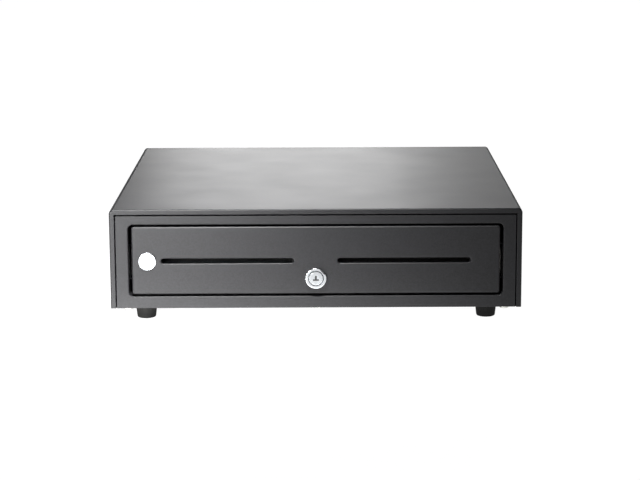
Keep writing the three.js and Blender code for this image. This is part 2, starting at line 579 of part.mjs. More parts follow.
const CAGE_Y0 = SLIDE_Y0 + TRAVEL / 4 + 4;          // a cage stays between its members when open
const CAGE_Y1 = SLIDE_Y1 - TRAVEL / 4 - 20;
const OUTER_OPEN_X = SLIDE_X0 + 2.2;
const MIDDLE_WEB_X = SLIDE_X1 - SLIDE_WALL - CAGE_T - 2 * GAP;
const MIDDLE_OPEN_X = SLIDE_X0 + 2.8;
const INNER_OPEN_X = MIDDLE_WEB_X - 1 - CAGE_T - 5 * GAP;
const OUTER_CAGE_H = (OUTER_H - 2 * SLIDE_WALL + MIDDLE_H) / 2 + CAGE_T;
const INNER_CAGE_H = (MIDDLE_H - 2 + INNER_H) / 2 + CAGE_T;
for (const [sideName, side] of [['left', -1], ['right', 1]]) {
  const outer = channel(side, OUTER_OPEN_X, SLIDE_X1, OUTER_H, SLIDE_WALL, SLIDE_Y0, SLIDE_Y1);
  const lips = [-1, 1].map((end) => {
    const top = SLIDE_CZ + end * (OUTER_H / 2 - SLIDE_WALL / 2);
    const low = SLIDE_CZ + end * (OUTER_H / 2 - SLIDE_WALL - 1.4);
    return sideBlock(side, OUTER_OPEN_X, OUTER_OPEN_X + SLIDE_WALL, SLIDE_Y0, SLIDE_Y1,
      Math.min(top, low), Math.max(top, low));
  });
  add(`slide_outer_${sideName}`, join(outer, ...lips), ZINC_STEEL);
  add(`slide_middle_${sideName}`,
    channel(side, MIDDLE_OPEN_X, MIDDLE_WEB_X, MIDDLE_H, 1, SLIDE_Y0 + 1, SLIDE_Y1 - 4), ZINC_STEEL);
  add(`slide_inner_${sideName}`,
    channel(side, INNER_OPEN_X, SLIDE_X0, INNER_H, 1.2, TRAY_Y0 + 1, SLIDE_Y1 - 18), ZINC_STEEL);
  add(`ball_cage_outer_${sideName}`,
    channel(side, OUTER_OPEN_X + 2.5, SLIDE_X1 - SLIDE_WALL - GAP, OUTER_CAGE_H, CAGE_T,
      CAGE_Y0, CAGE_Y1), BLACK_ABS);
  add(`ball_cage_inner_${sideName}`,
    channel(side, MIDDLE_OPEN_X + 1, INNER_OPEN_X + 2 * GAP + CAGE_T, INNER_CAGE_H, CAGE_T,
      CAGE_Y0, CAGE_Y1), BLACK_ABS);
  const uprightX = SLIDE_X1 + GAP;
  const bracketY0 = SLIDE_Y0 + 12;
  const bracketY1 = SLIDE_Y1 - 10;
  const upright = sideBlock(side, uprightX, uprightX + BRACKET_T, bracketY0, bracketY1,
    SEAT_Z, SLIDE_CZ + OUTER_H / 2);
  const shelf = sideBlock(side, uprightX, PAN_X - PAN_T - 1, bracketY0, bracketY1,
    SEAT_Z, SEAT_Z + BRACKET_T);
  add(`slide_bracket_${sideName}`, join(upright, shelf), ZINC_STEEL);
}

// ---------- till ----------
const POCKET_W = (2 * TILL_X - (POCKETS + 1) * TILL_T) / POCKETS;
function pocketX(index) {
  return -TILL_X + TILL_T + index * (POCKET_W + TILL_T);
}

function cashTill() {
  const body = block(-TILL_X, TILL_X, TILL_Y0, TILL_Y1, TILL_Z0, TILL_Z1);
  const floorZ = TILL_Z0 + TILL_T;
  const above = TILL_Z1 + 20;
  const coinY1 = TILL_Y0 + TILL_T + COIN_L;
  const tools = [];
  for (let i = 0; i < POCKETS; i += 1) {
    const x0 = pocketX(i);
    const coin = roundedRect(TILL_Y0 + TILL_T, coinY1, floorZ, above, 16);
    const note = roundedRect(coinY1 + TILL_T, TILL_Y1 - TILL_T, floorZ, above, POCKET_R);
    tools.push(prism('x', coin, x0, x0 + POCKET_W, 4));
    tools.push(prism('x', note, x0, x0 + POCKET_W, 2));
  }
  tools.push(bar('x', ROD_Y, ROD_Z, CLIP_ROD_R + GAP, -TILL_X + TILL_T / 2, TILL_X - TILL_T / 2, 12));
  return cut(body, ...tools);
}

// A note clip: knuckle on the rod, a flat arm sloping down, and a round pressing foot.
const CLIP_REST = Math.asin((TILL_Z0 + TILL_T + CLIP_TIP_R + 2 * GAP - ROD_Z) / CLIP_L);
function noteClip(x) {
  const knuckleR = CLIP_ROD_R + RUN + 1.6;
  const arm = block(x - CLIP_W / 2, x + CLIP_W / 2, -CLIP_L, -CLIP_ROD_R - 1, -0.8, 0.8);
  const tip = bar('x', -CLIP_L, 0, CLIP_TIP_R, x - CLIP_TIP_W / 2, x + CLIP_TIP_W / 2, 12);
  const knuckle = bar('x', 0, 0, knuckleR, x - CLIP_W / 2, x + CLIP_W / 2, 16);
  const hole = bar('x', 0, 0, CLIP_ROD_R + RUN, x - CLIP_W, x + CLIP_W, 16);
  return cut(join(arm, tip, knuckle), hole).rotateX(-CLIP_REST).translate(0, ROD_Y, ROD_Z);
}

add('cash_till', cashTill(), BLACK_ABS);
add('clip_rod', bar('x', ROD_Y, ROD_Z, CLIP_ROD_R, -TILL_X + TILL_T, TILL_X - TILL_T, 12), SPRING_STEEL);
for (let i = 0; i < POCKETS; i += 1) {
  add(`note_clip_${i + 1}`, noteClip(pocketX(i) + POCKET_W / 2), BLACK_ABS);
}

// ---------- latch, at the rear of the case ----------
const HOOK_Z0 = Z0 + HOOK_Z;
const HOOK_Z1 = HOOK_Z0 + HOOK_T;
const LATCH_PLATE_TOP = SEAT_Z + LATCH_PLATE_T;
const MECH_Z = LATCH_PLATE_TOP + GAP;

function strike() {
  const plateY0 = TRAY_Y1 + GAP;
  const shelfZ = HOOK_Z1 + 6;
  const pinY = STRIKE_Y;
  const plate = block(-12, 12, plateY0, plateY0 + 1.5, HOOK_Z1 + 2, shelfZ + 12);
  const shelf = block(-8, 8, plateY0, pinY + 6, shelfZ, shelfZ + 1.5);
  const pin = bar('z', 0, pinY, STRIKE_PIN_R, HOOK_Z0 - 1, shelfZ + 1, 16);
  return join(plate, shelf, pin);
}

// Drawn latched, with the pivot at the origin, then turned to the released rest position.
function latchHook() {
  const noseY = STRIKE_Y - STRIKE_PIN_R - 0.4 - PIVOT_Y;
  const outline = polygon([
    [-21, noseY], [-19.5, noseY - 3.6], [-9, noseY - 4.6], [-3.5, noseY - 2],
    [4, -16], [7, -3], [-7, -3], [-12.4, noseY + 3], [-12.4, noseY],
  ]);
  const plate = prism('z', outline, HOOK_Z0, HOOK_Z1);
  const boss = bar('z', 0, 0, 8, HOOK_Z0, HOOK_Z1, 20);
  const peg = bar('z', PEG_DX, PEG_DY, PEG_R, HOOK_Z0 + 1, Z0 + PLUNGER_Z + 4, 12);
  const hole = bar('z', 0, 0, PIVOT_R + RUN, HOOK_Z0 - 1, HOOK_Z1 + 1, 16);
  return cut(join(plate, boss, peg), hole).rotateZ(HOOK_SWING).translate(PIVOT_X, PIVOT_Y, 0);
}

function pivotPin() {
  const headZ = HOOK_Z1 + GAP;
  return turned([
    [0, MECH_Z], [5, MECH_Z], [5, HOOK_Z0 - GAP], [PIVOT_R, HOOK_Z0 - GAP],
    [PIVOT_R, headZ], [4.5, headZ], [4.5, headZ + 1.6], [0, headZ + 1.6],
  ], PIVOT_X, PIVOT_Y, 16);
}

// Where the drive peg stands at rest, released.
const PEG_X = PIVOT_X + PEG_DX * Math.cos(HOOK_SWING) - PEG_DY * Math.sin(HOOK_SWING);
const PEG_Y = PIVOT_Y + PEG_DX * Math.sin(HOOK_SWING) + PEG_DY * Math.cos(HOOK_SWING);
const PLUNGER_CZ = Z0 + PLUNGER_Z;

function solenoidPlunger() {
  const rod = bar('x', PEG_Y, PLUNGER_CZ, PLUNGER_R, PEG_X + 14, PEG_X + 64, 16);
  const collar = bar('x', PEG_Y, PLUNGER_CZ, PLUNGER_R + 3, PEG_X + 13, PEG_X + 15, 16);
  const link = block(PEG_X - 5, PEG_X + 14.5, PEG_Y - 6, PEG_Y + 6, PLUNGER_CZ - 1, PLUNGER_CZ + 1);
  const halfX = PEG_R + 0.5;
  const slot = block(PEG_X - halfX, PEG_X + halfX, PEG_Y - 4, PEG_Y + 4, PLUNGER_CZ - 3, PLUNGER_CZ + 3);
  return cut(join(rod, collar, link), slot);
}

function solenoidFrame() {
  const x0 = FRAME_X0;
  const x1 = FRAME_X0 + FRAME_L;
  const halfY = 12;
  const top = PLUNGER_CZ + COIL_R + 1.5;
  const base = block(x0, x1, PEG_Y - halfY, PEG_Y + halfY, MECH_Z, MECH_Z + FRAME_T);
  const near = block(x0, x0 + FRAME_T, PEG_Y - halfY, PEG_Y + halfY, MECH_Z, top);
  const far = block(x1 - FRAME_T, x1, PEG_Y - halfY, PEG_Y + halfY, MECH_Z, top);
  const hole = bar('x', PEG_Y, PLUNGER_CZ, PLUNGER_R + 0.6, x0 - 1, x0 + FRAME_T + 1, 16);
  return cut(join(base, near, far), hole);
}

function solenoidCoil() {
  const x0 = FRAME_X0 + FRAME_T + GAP;
  const x1 = FRAME_X0 + FRAME_L - FRAME_T - GAP;
  const body = bar('x', PEG_Y, PLUNGER_CZ, COIL_R, x0, x1, 24);
  return cut(body, bar('x', PEG_Y, PLUNGER_CZ, PLUNGER_R + 0.6, x0 - 1, x1 + 1, 16));
}

add('strike', strike(), ZINC_STEEL);
add('latch_plate', block(-22, FRAME_X0 + FRAME_L + 6, TRAY_Y1 + 8, WALL_Y1 - PAN_T - 2,
  SEAT_Z, LATCH_PLATE_TOP), ZINC_STEEL);
add('latch_pivot_pin', pivotPin(), ZINC_STEEL);
add('latch_hook', latchHook(), ZINC_STEEL);
add('solenoid_frame', solenoidFrame(), ZINC_STEEL);
add('solenoid_coil', solenoidCoil(), COIL_TAPE);
add('solenoid_plunger', solenoidPlunger(), ZINC_STEEL);
add('latch_spring', spring('x', PEG_Y, PLUNGER_CZ, PLUNGER_R + 1.4, 0.5, PEG_X + 15 + GAP,
  FRAME_X0 - GAP, 4), SPRING_STEEL);

// ---------- drawer switch, pressed by the hook's arm when the latch closes ----------
function drawerSwitch() {
  const x = SWITCH_PIVOT_X;
  const y = SWITCH_PIVOT_Y;
  const body = block(x - 13, x, y - 22, y - 6, MECH_Z, HOOK_Z1 + 1);
  const button = block(x - 1, x + 2.2, y - 14, y - 12, HOOK_Z0, HOOK_Z1);
  const ear = block(x - 5, x + 3, y - 7, y + 2.5, HOOK_Z0 - 3, HOOK_Z0 - 1 - GAP);
  return join(body, button, ear);
}

// The lever leans towards the hook's arm, and follows it.
function switchLever() {
  const strip = block(-0.5, 0.5, -LEVER_L, 0, HOOK_Z0 - 1, HOOK_Z1);
  const knuckle = bar('z', 0, 0, 1.8, HOOK_Z0 - 1, HOOK_Z1, 12);
  return join(strip, knuckle).rotateZ(LEVER_LEAN).translate(SWITCH_PIVOT_X, SWITCH_PIVOT_Y, 0);
}
add('drawer_switch', drawerSwitch(), BLACK_ABS);
add('switch_lever', switchLever(), SPRING_STEEL);

// ---------- ejector, which pushes the released drawer open ----------
const EJECT_CZ = Z0 + EJECT_Z;
const EJECT_HEAD_Y1 = TRAY_Y1 + GAP + 3;
const EJECT_GUIDE_Y0 = EJECT_HEAD_Y1 + 22;
function ejectorGuide() {
  const y1 = EJECT_GUIDE_Y0 + 24;
  const post = block(EJECT_X - 9, EJECT_X + 9, EJECT_GUIDE_Y0, y1, SEAT_Z, EJECT_CZ + 9);
  const foot = block(EJECT_X - 20, EJECT_X + 20, EJECT_GUIDE_Y0, y1, SEAT_Z, SEAT_Z + 2);
  const bore = bar('y', EJECT_X, EJECT_CZ, EJECT_R + RUN, EJECT_GUIDE_Y0 - 1, y1 + 1, 16);
  return cut(join(post, foot), bore);
}

function ejectorPlunger() {
  const head = bar('y', EJECT_X, EJECT_CZ, 8, TRAY_Y1 + GAP, EJECT_HEAD_Y1, 16);
  const rod = bar('y', EJECT_X, EJECT_CZ, EJECT_R, TRAY_Y1 + 2, EJECT_GUIDE_Y0 + 30, 16);
  return join(head, rod);
}
add('ejector_guide', ejectorGuide(), BLACK_ABS);
add('ejector_plunger', ejectorPlunger(), ZINC_STEEL);
add('ejector_spring', spring('y', EJECT_X, EJECT_CZ, EJECT_R + 1.6, 0.6, EJECT_HEAD_Y1 + GAP,
  EJECT_GUIDE_Y0 - GAP, 6), SPRING_STEEL);

// ---------- interface jack and its inner lead ----------
const JACK_Y1 = REAR_Y - COVER_T;
const JACK_Y0 = JACK_Y1 - JACK_D;
function interfaceJack() {
  const halfW = JACK_W / 2;
  const z0 = Z0 + JACK_Z;
  const body = block(JACK_X - halfW, JACK_X + halfW, JACK_Y0, JACK_Y1, z0, z0 + JACK_H);
  const socket = block(JACK_X - halfW + 2, JACK_X + halfW - 2, JACK_Y1 - 13, JACK_Y1 + 1, z0 + 4, z0 + 12);
  const key = block(JACK_X - 3.2, JACK_X + 3.2, JACK_Y1 - 13, JACK_Y1 + 1, z0 + 1.8, z0 + 6);
  return cut(body, join(socket, key));
}

function wiringLead() {
  const z = Z0 + 9;
  const rearRun = EJECT_GUIDE_Y0 + 30;
  const coilX = FRAME_X0 + FRAME_L + 8;
  const start = new THREE.Vector3(JACK_X, JACK_Y0 - GAP, Z0 + JACK_Z + JACK_H / 2);
  const path = new THREE.CatmullRomCurve3([
    start,
    start.clone().add(new THREE.Vector3(0, -6, 0)),
    new THREE.Vector3(JACK_X + 14, JACK_Y0 - 6, z + 4),
    new THREE.Vector3(JACK_X + 26, rearRun, z),
    new THREE.Vector3(EJECT_X, rearRun, z),
    new THREE.Vector3(-30, rearRun, z),
    new THREE.Vector3(34, rearRun, z),
    new THREE.Vector3(coilX, PEG_Y + 14, z + 4),
    new THREE.Vector3(coilX + 2, PEG_Y + 5, PLUNGER_CZ - 5),
    new THREE.Vector3(coilX - 2, PEG_Y + 4, PLUNGER_CZ),
    new THREE.Vector3(FRAME_X0 + FRAME_L + 3 * GAP, PEG_Y + 4, PLUNGER_CZ),
  ]);
  const section = polygon([0, 1, 2, 3, 4, 5, 6, 7].map((i) => (
    [1.7 * Math.cos((i * Math.PI) / 4), 1.7 * Math.sin((i * Math.PI) / 4)])));
  return new THREE.ExtrudeGeometry(section, { steps: 60, bevelEnabled: false, extrudePath: path });
}
add('interface_jack', interfaceJack(), BLACK_ABS);
add('wiring_lead', wiringLead(), SHEATH_PVC);

export default object;
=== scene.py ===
"""Looks of a steel cash drawer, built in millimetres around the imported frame.

Folded sheet metal with soft bends, a key lock, a moulded till with note clips, ball slides,
and the solenoid latch at the rear. Every place comes from the frame's own boxes.
"""
import math

import bmesh
import bpy
from mathutils import Matrix, Vector


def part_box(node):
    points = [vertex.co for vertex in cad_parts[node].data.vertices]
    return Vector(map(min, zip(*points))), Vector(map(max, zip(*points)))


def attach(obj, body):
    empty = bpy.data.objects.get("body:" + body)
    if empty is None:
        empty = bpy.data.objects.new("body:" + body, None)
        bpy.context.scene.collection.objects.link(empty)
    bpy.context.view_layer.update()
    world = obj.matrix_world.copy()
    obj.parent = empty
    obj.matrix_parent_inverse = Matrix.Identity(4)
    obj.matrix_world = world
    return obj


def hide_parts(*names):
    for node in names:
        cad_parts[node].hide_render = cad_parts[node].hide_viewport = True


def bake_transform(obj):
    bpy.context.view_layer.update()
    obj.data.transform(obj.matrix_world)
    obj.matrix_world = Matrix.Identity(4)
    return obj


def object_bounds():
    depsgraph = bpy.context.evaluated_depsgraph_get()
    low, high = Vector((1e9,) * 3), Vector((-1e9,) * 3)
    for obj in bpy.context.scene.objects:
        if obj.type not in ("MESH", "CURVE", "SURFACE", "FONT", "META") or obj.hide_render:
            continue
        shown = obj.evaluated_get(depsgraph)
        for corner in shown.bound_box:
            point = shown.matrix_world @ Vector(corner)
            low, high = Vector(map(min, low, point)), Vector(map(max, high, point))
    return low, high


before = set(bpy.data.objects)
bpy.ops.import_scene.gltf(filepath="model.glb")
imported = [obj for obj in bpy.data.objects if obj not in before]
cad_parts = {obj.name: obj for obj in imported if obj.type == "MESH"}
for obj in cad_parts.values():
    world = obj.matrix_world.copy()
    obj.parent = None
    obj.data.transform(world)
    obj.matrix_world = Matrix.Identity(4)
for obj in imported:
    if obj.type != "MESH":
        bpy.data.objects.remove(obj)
cad_low, cad_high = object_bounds()
scene = bpy.context.scene

MM = 0.001                   # one millimetre in the frame's metres
SIDES = (("left", -1), ("right", 1))

# ---------- camera ----------
CAMERA_AT = (6.0, -2147.0, 468.0)
PITCH, YAW, ROLL = 11.255, -0.052, 0.258      # degrees: down, to the right, and tilt
SENSOR = 36.0
LENS = 111.94


def build_camera():
    data = bpy.data.cameras.new("camera")
    data.sensor_width, data.lens = SENSOR, LENS
    data.clip_start, data.clip_end = 0.05, 60.0
    camera = bpy.data.objects.new("camera", data)
    scene.collection.objects.link(camera)
    turn = (Matrix.Rotation(-math.radians(YAW), 4, "Z")
            @ Matrix.Rotation(math.radians(90 - PITCH), 4, "X")
            @ Matrix.Rotation(-math.radians(ROLL), 4, "Z"))
    camera.matrix_world = Matrix.Translation(Vector(CAMERA_AT) * MM) @ turn
    scene.camera = camera


# ---------- nodes and materials ----------
def linear(hex_code):
    """An sRGB colour such as '#2b2b2d' as linear red, green, blue and a full alpha."""
    parts = [int(hex_code[i:i + 2], 16) / 255 for i in (1, 3, 5)]
    light = [c / 12.92 if c <= 0.04045 else ((c + 0.055) / 1.055) ** 2.4 for c in parts]
    return tuple(light) + (1.0,)


def node(tree, kind, inputs=(), **settings):
    """Adds a node; inputs are values, or outputs of other nodes to link."""
    made = tree.nodes.new(kind)
    for name, value in settings.items():
        setattr(made, name, value)
    for name, value in dict(inputs).items():
        if isinstance(value, bpy.types.NodeSocket):
            tree.links.new(value, made.inputs[name])
        else:
            made.inputs[name].default_value = value
    return made


def new_finish(name, **surface):
    """A material with one Principled shader, its inputs given with _ for a space."""
    material = bpy.data.materials.new(name)
    material.use_nodes = True
    tree = material.node_tree
    tree.nodes.clear()
    given = {key.replace("_", " "): value for key, value in surface.items()}
    shader = node(tree, "ShaderNodeBsdfPrincipled", given)
    node(tree, "ShaderNodeOutputMaterial", {"Surface": shader.outputs["BSDF"]})
    place = node(tree, "ShaderNodeTexCoord").outputs["Object"]
    return material, tree, shader, place


def paint(tree, shader, colour, roughness):
    """Links a colour and a roughness to the shader."""
    tree.links.new(colour, shader.inputs["Base Color"])
    tree.links.new(roughness, shader.inputs["Roughness"])


def noise(tree, place, size_mm, detail=2.0, roughness=0.5):
    """Noise whose lumps are about size_mm across."""
    return node(tree, "ShaderNodeTexNoise", {
        "Vector": place, "Scale": 1 / (size_mm * MM), "Detail": detail, "Roughness": roughness,
    }).outputs["Fac"]


def fine_lines(tree, place, stretch, size_mm):
    """Noise drawn out into lines, along the axis whose share in stretch is small."""
    drawn = node(tree, "ShaderNodeMapping", {"Vector": place, "Scale": stretch})
    return noise(tree, drawn.outputs["Vector"], size_mm, 2)


def spread(tree, value, low, high, given_low=0.3, given_high=0.7):
    """A pattern's middle range spread between two values."""
    return node(tree, "ShaderNodeMapRange", {
        "Value": value, "From Min": given_low, "From Max": given_high,
        "To Min": low, "To Max": high,
    }).outputs["Result"]


def tinted(tree, value, dark, light):
    """A colour between two hex codes."""
    mix = node(tree, "ShaderNodeMix", {"Factor": value}, data_type="RGBA")
    colours = [socket for socket in mix.inputs if socket.type == "RGBA"]
    colours[0].default_value, colours[1].default_value = linear(dark), linear(light)
    return next(socket for socket in mix.outputs if socket.type == "RGBA")


def relief(tree, shader, height, depth_mm, strength=1.0, under=None):
    """Bump of a real depth, on top of another bump where there is one."""
    inputs = {"Height": height, "Distance": depth_mm * MM, "Strength": strength}
    if under is not None:
        inputs["Normal"] = under
    bump = node(tree, "ShaderNodeBump", inputs)
    tree.links.new(bump.outputs["Normal"], shader.inputs["Normal"])
    return bump.outputs["Normal"]


def powder_coat():
    """Black polyester powder, baked: near-black with a soft sheen over a fine leathery grain."""
    material, tree, shader, place = new_finish(
        "powder_coat_fine_black", IOR=1.5, Specular_IOR_Level=0.2)
    clouds = noise(tree, place, 60, 2)
    grain = noise(tree, place, 1.5, 3, 0.6)      # coarser than real grain, so that it shows
    peel = noise(tree, place, 5, 1)
    paint(tree, shader, tinted(tree, spread(tree, grain, 0, 1), "#131314", "#1c1c1e"),
          spread(tree, clouds, 0.425, 0.445))
    fine = relief(tree, shader, grain, 0.06, 0.8)
    relief(tree, shader, peel, 0.08, 0.35, fine)
    return material


ROLLED = (1.0, 0.04, 1.0)    # stretch of the lines that rolling leaves along y


def zinc_plate():
    """Bright zinc plate on cold-rolled strip: grey metal, faint spangle, lines from rolling."""
    material, tree, shader, place = new_finish("zinc_plated_steel", Metallic=1.0)
    cells = node(tree, "ShaderNodeTexVoronoi", {"Vector": place, "Scale": 1 / (3.5 * MM)})
    spangle = spread(tree, cells.outputs["Distance"], 0, 1, 0, 0.9)
    drawn = fine_lines(tree, place, ROLLED, 0.8)
    paint(tree, shader, tinted(tree, spangle, "#b9bbb9", "#c8c6bd"),
          spread(tree, drawn, 0.26, 0.40))
    relief(tree, shader, drawn, 0.01, 0.35)
    return material


def black_zinc():
    """Zinc plate passivated black, as on slides: dark metal with an oily sheen and drawn lines."""
    material, tree, shader, place = new_finish("black_zinc_passivated", Metallic=0.7)
    drawn = fine_lines(tree, place, ROLLED, 0.8)
    clouds = spread(tree, noise(tree, place, 18, 2), 0, 1)
    paint(tree, shader, tinted(tree, clouds, "#1c1d1f", "#2b2c30"),
          spread(tree, drawn, 0.30, 0.44))
    relief(tree, shader, drawn, 0.01, 0.35)
    return material


def chrome_plate():
    """Polished chrome over brass: a mirror with hairlines from polishing."""
    material, tree, shader, place = new_finish("chrome_plate_polished", Metallic=1.0)
    hairlines = fine_lines(tree, place, (1.0, 1.0, 0.08), 0.5)
    paint(tree, shader, tinted(tree, noise(tree, place, 6, 1), "#b2b5b8", "#c2c4c6"),
          spread(tree, hairlines, 0.16, 0.26))
    relief(tree, shader, hairlines, 0.004, 0.4)
    return material


def moulded_abs():
    """Black ABS from a spark-eroded mould: dull, and evenly pitted."""
    material, tree, shader, place = new_finish("abs_spark_textured_black", IOR=1.53)
    pits = noise(tree, place, 0.7, 2, 0.6)
    clouds = spread(tree, noise(tree, place, 25, 2), 0, 1)
    paint(tree, shader, tinted(tree, clouds, "#202021", "#29292a"),
          spread(tree, pits, 0.45, 0.6))
    relief(tree, shader, pits, 0.04, 0.5)
    return material


def moulded_rubber():
    """Black nitrile rubber from a steel mould: matt, slightly dusty, with no clear reflection."""
    material, tree, shader, place = new_finish(
        "nitrile_rubber_moulded", IOR=1.52, Specular_IOR_Level=0.12)
    bloom = noise(tree, place, 4, 3)
    paint(tree, shader, tinted(tree, spread(tree, bloom, 0, 1), "#111111", "#1b1b1a"),
          spread(tree, bloom, 0.68, 0.85))
    relief(tree, shader, noise(tree, place, 0.6, 2), 0.03, 0.5)
    return material


def white_lacquer():
    """White lacquer on a stamped aluminium disc: clean, glossy, with the least orange peel."""
    material, tree, shader, place = new_finish(
        "white_lacquered_aluminium", IOR=1.5, Coat_Weight=0.5, Coat_Roughness=0.08)
    paint(tree, shader, tinted(tree, noise(tree, place, 5, 1), "#acaeaf", "#b5b7b8"),
          spread(tree, noise(tree, place, 2, 2), 0.26, 0.34))
    relief(tree, shader, noise(tree, place, 1.2, 1), 0.006, 0.4)
    return material


def spring_wire():
    """Hard-drawn spring wire: darker than zinc, with a drawn, slightly oily shine."""
    material, tree, shader, place = new_finish("drawn_spring_steel", Metallic=1.0)
    streaks = noise(tree, place, 0.6, 3)
    paint(tree, shader, tinted(tree, streaks, "#85888b", "#a4a6a8"),
          spread(tree, streaks, 0.22, 0.36))
    return material


def amber_tape():
    """Amber polyimide tape round the coil: translucent-looking gloss, darker where turns lap."""
    material, tree, shader, place = new_finish("polyimide_coil_tape", IOR=1.6)
    lap = 9.0                                    # width of one turn of tape
    waves = 2 / (lap * MM * math.tau)            # its scale as the wave node counts it
    laps = node(tree, "ShaderNodeTexWave", {"Vector": place, "Scale": waves, "Distortion": 0.4},
                wave_type="BANDS", bands_direction="X").outputs["Fac"]
    paint(tree, shader, tinted(tree, laps, "#5e3a10", "#a8702a"),
          spread(tree, noise(tree, place, 3, 2), 0.22, 0.36))
    relief(tree, shader, laps, 0.05, 0.4)
    return material


def pvc_sheath():
    """Grey PVC sheath, extruded: smooth and faintly waxy."""
    material, tree, shader, place = new_finish("pvc_sheath_grey", IOR=1.53)
    wax = noise(tree, place, 6, 2)
    paint(tree, shader, tinted(tree, wax, "#343436", "#454548"), spread(tree, wax, 0.38, 0.52))
    relief(tree, shader, noise(tree, place, 1.0, 2), 0.02, 0.3)
    return material


def gold_flash():
    """Thin gold flash on the jack's phosphor-bronze contacts: warm, bright metal."""
    material, tree, shader, place = new_finish("gold_flashed_contacts", Metallic=1.0)
    worn = noise(tree, place, 1.5, 2)
    paint(tree, shader, tinted(tree, worn, "#c79a48", "#e3bd6c"), spread(tree, worn, 0.18, 0.3))
    return material


POWDER = powder_coat()
ZINC = zinc_plate()
BLACK_ZINC = black_zinc()
CHROME = chrome_plate()
ABS = moulded_abs()
RUBBER = moulded_rubber()
LACQUER = white_lacquer()
WIRE = spring_wire()
TAPE = amber_tape()
PVC = pvc_sheath()
GOLD = gold_flash()


# ---------- shapes ----------
TIP = 0.01                   # radius at which a turned shape ends on its axis
FROM_Z = {                   # turns that bring Z to an axis
    "X": Matrix.Rotation(math.radians(90), 4, "Y"),
    "Y": Matrix.Rotation(math.radians(-90), 4, "X"),
    "Z": Matrix.Identity(4),
}
UPSIDE_DOWN = Matrix.Rotation(math.pi, 4, "X")


def span(name):
    """Lowest and highest corner of a CAD node, in millimetres."""
    low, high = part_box(name)
    return low / MM, high / MM


def arc(start, end, steps):
    """Angles in radians from start to end, given in degrees."""
    return [math.radians(start + (end - start) * i / steps) for i in range(steps + 1)]


def quarter(radius, steps=5, start=0):
    """A quarter round from (radius, 0) to (0, radius); start leaves off its first degrees."""
    return [(radius * (1 - math.sin(a)), radius * (1 - math.cos(a)))
            for a in arc(start, 90, steps)]


def outline(u0, u1, v0, v1, radius, steps=6):
    """A closed outline with round corners, always with the same number of points."""
    r = max(radius, 0.0)
    corners = ((u0 + r, v0 + r, 180), (u1 - r, v0 + r, 270),
               (u1 - r, v1 - r, 0), (u0 + r, v1 - r, 90))
    return [(u + r * math.cos(a), v + r * math.sin(a))
            for u, v, start in corners for a in arc(start, start + 90, steps)]


def loft(loops, closed=False):
    """A skin through closed loops of points, capped at both ends or closed into a ring."""
    bm = bmesh.new()
    rows = [[bm.verts.new(point) for point in loop] for loop in loops]
    pairs = list(zip(rows, rows[1:])) + ([(rows[-1], rows[0])] if closed else [])
    for near, far in pairs:
        for i in range(len(near)):
            j = (i + 1) % len(near)
            bm.faces.new((near[i], near[j], far[j], far[i]))
    if not closed:
        bm.faces.new(rows[0])
        bm.faces.new(rows[-1])
    return cleaned(bm)


def cleaned(bm):
    """Merged corners, no empty faces, and faces pointing outwards."""
    bmesh.ops.remove_doubles(bm, verts=bm.verts, dist=1e-4)
    bmesh.ops.dissolve_degenerate(bm, edges=bm.edges, dist=1e-5)
    bmesh.ops.recalc_face_normals(bm, faces=bm.faces)
    return bm


def standing(shape, y):
    """An outline drawn in x and z, at a depth y."""
    return [(u, y, v) for u, v in shape]


def prism_y(shape, y0, y1):
    return loft([standing(shape, y0), standing(shape, y1)])


def turned(profile, sides=48, axis="Z", at=(0, 0, 0), closed=False):
    """A turned solid: profile is (radius, along) from one end to the other."""
    angles = [2 * math.pi * i / sides for i in range(sides)]
    bm = loft([[(radius * math.cos(a), radius * math.sin(a), along) for a in angles]
               for radius, along in profile], closed)
    bm.transform(Matrix.Translation(at) @ FROM_Z[axis])
    return bm


def turned_ring(profile, sides=48, axis="Z", at=(0, 0, 0)):
    """A turned piece with a hole through it: profile is a closed outline of (radius, along)."""
    return turned(profile, sides, axis, at, closed=True)


def block(x0, x1, y0, y1, z0, z1, soft=0.0):
    """A block, its edges softened."""
    bm = prism_y([(x0, z0), (x1, z0), (x1, z1), (x0, z1)], y0, y1)
    return rounded(bm, soft) if soft else bm


def joined(*parts):
    """Several solids as one mesh."""
    whole = bmesh.new()
    for part in parts:
        mesh = bpy.data.meshes.new("part")
        part.to_mesh(mesh)
        part.free()
        whole.from_mesh(mesh)
        bpy.data.meshes.remove(mesh)
    return whole


def as_object(bm, name="solid"):
    mesh = bpy.data.meshes.new(name)
    bm.to_mesh(mesh)
    bm.free()
    made = bpy.data.objects.new(name, mesh)
    scene.collection.objects.link(made)
    return made


def evaluated(obj):
    """The object's mesh with its modifiers applied; the object is removed."""
    bpy.context.view_layer.update()
    applied = obj.evaluated_get(bpy.context.evaluated_depsgraph_get())
    mesh = bpy.data.meshes.new_from_object(applied)
    bpy.data.objects.remove(obj)
    return mesh


def carved(bm, *tools):
    """The solid less each tool."""
    body = as_object(bm)
    cutters = [as_object(tool) for tool in tools]
    for cutter in cutters:
        modifier = body.modifiers.new("carve", "BOOLEAN")
        modifier.operation, modifier.solver, modifier.object = "DIFFERENCE", "EXACT", cutter
    mesh = evaluated(body)
    for cutter in cutters:
        bpy.data.objects.remove(cutter)
    result = bmesh.new()
    result.from_mesh(mesh)
    bmesh.ops.remove_doubles(result, verts=result.verts, dist=1e-4)
    return result


def rounded(bm, radius, segments=2, where=None, steeper_than=35):
    """Edges steeper than an angle, and for which where(middle) holds, rounded."""
    limit = math.radians(steeper_than)
    edges = [e for e in bm.edges
             if len(e.link_faces) == 2 and e.calc_face_angle(0) > limit
             and (where is None or where((e.verts[0].co + e.verts[1].co) / 2))]
    bmesh.ops.bevel(bm, geom=edges, offset=radius, segments=segments, profile=0.5,
                    affect="EDGES", clamp_overlap=True)
    return bm


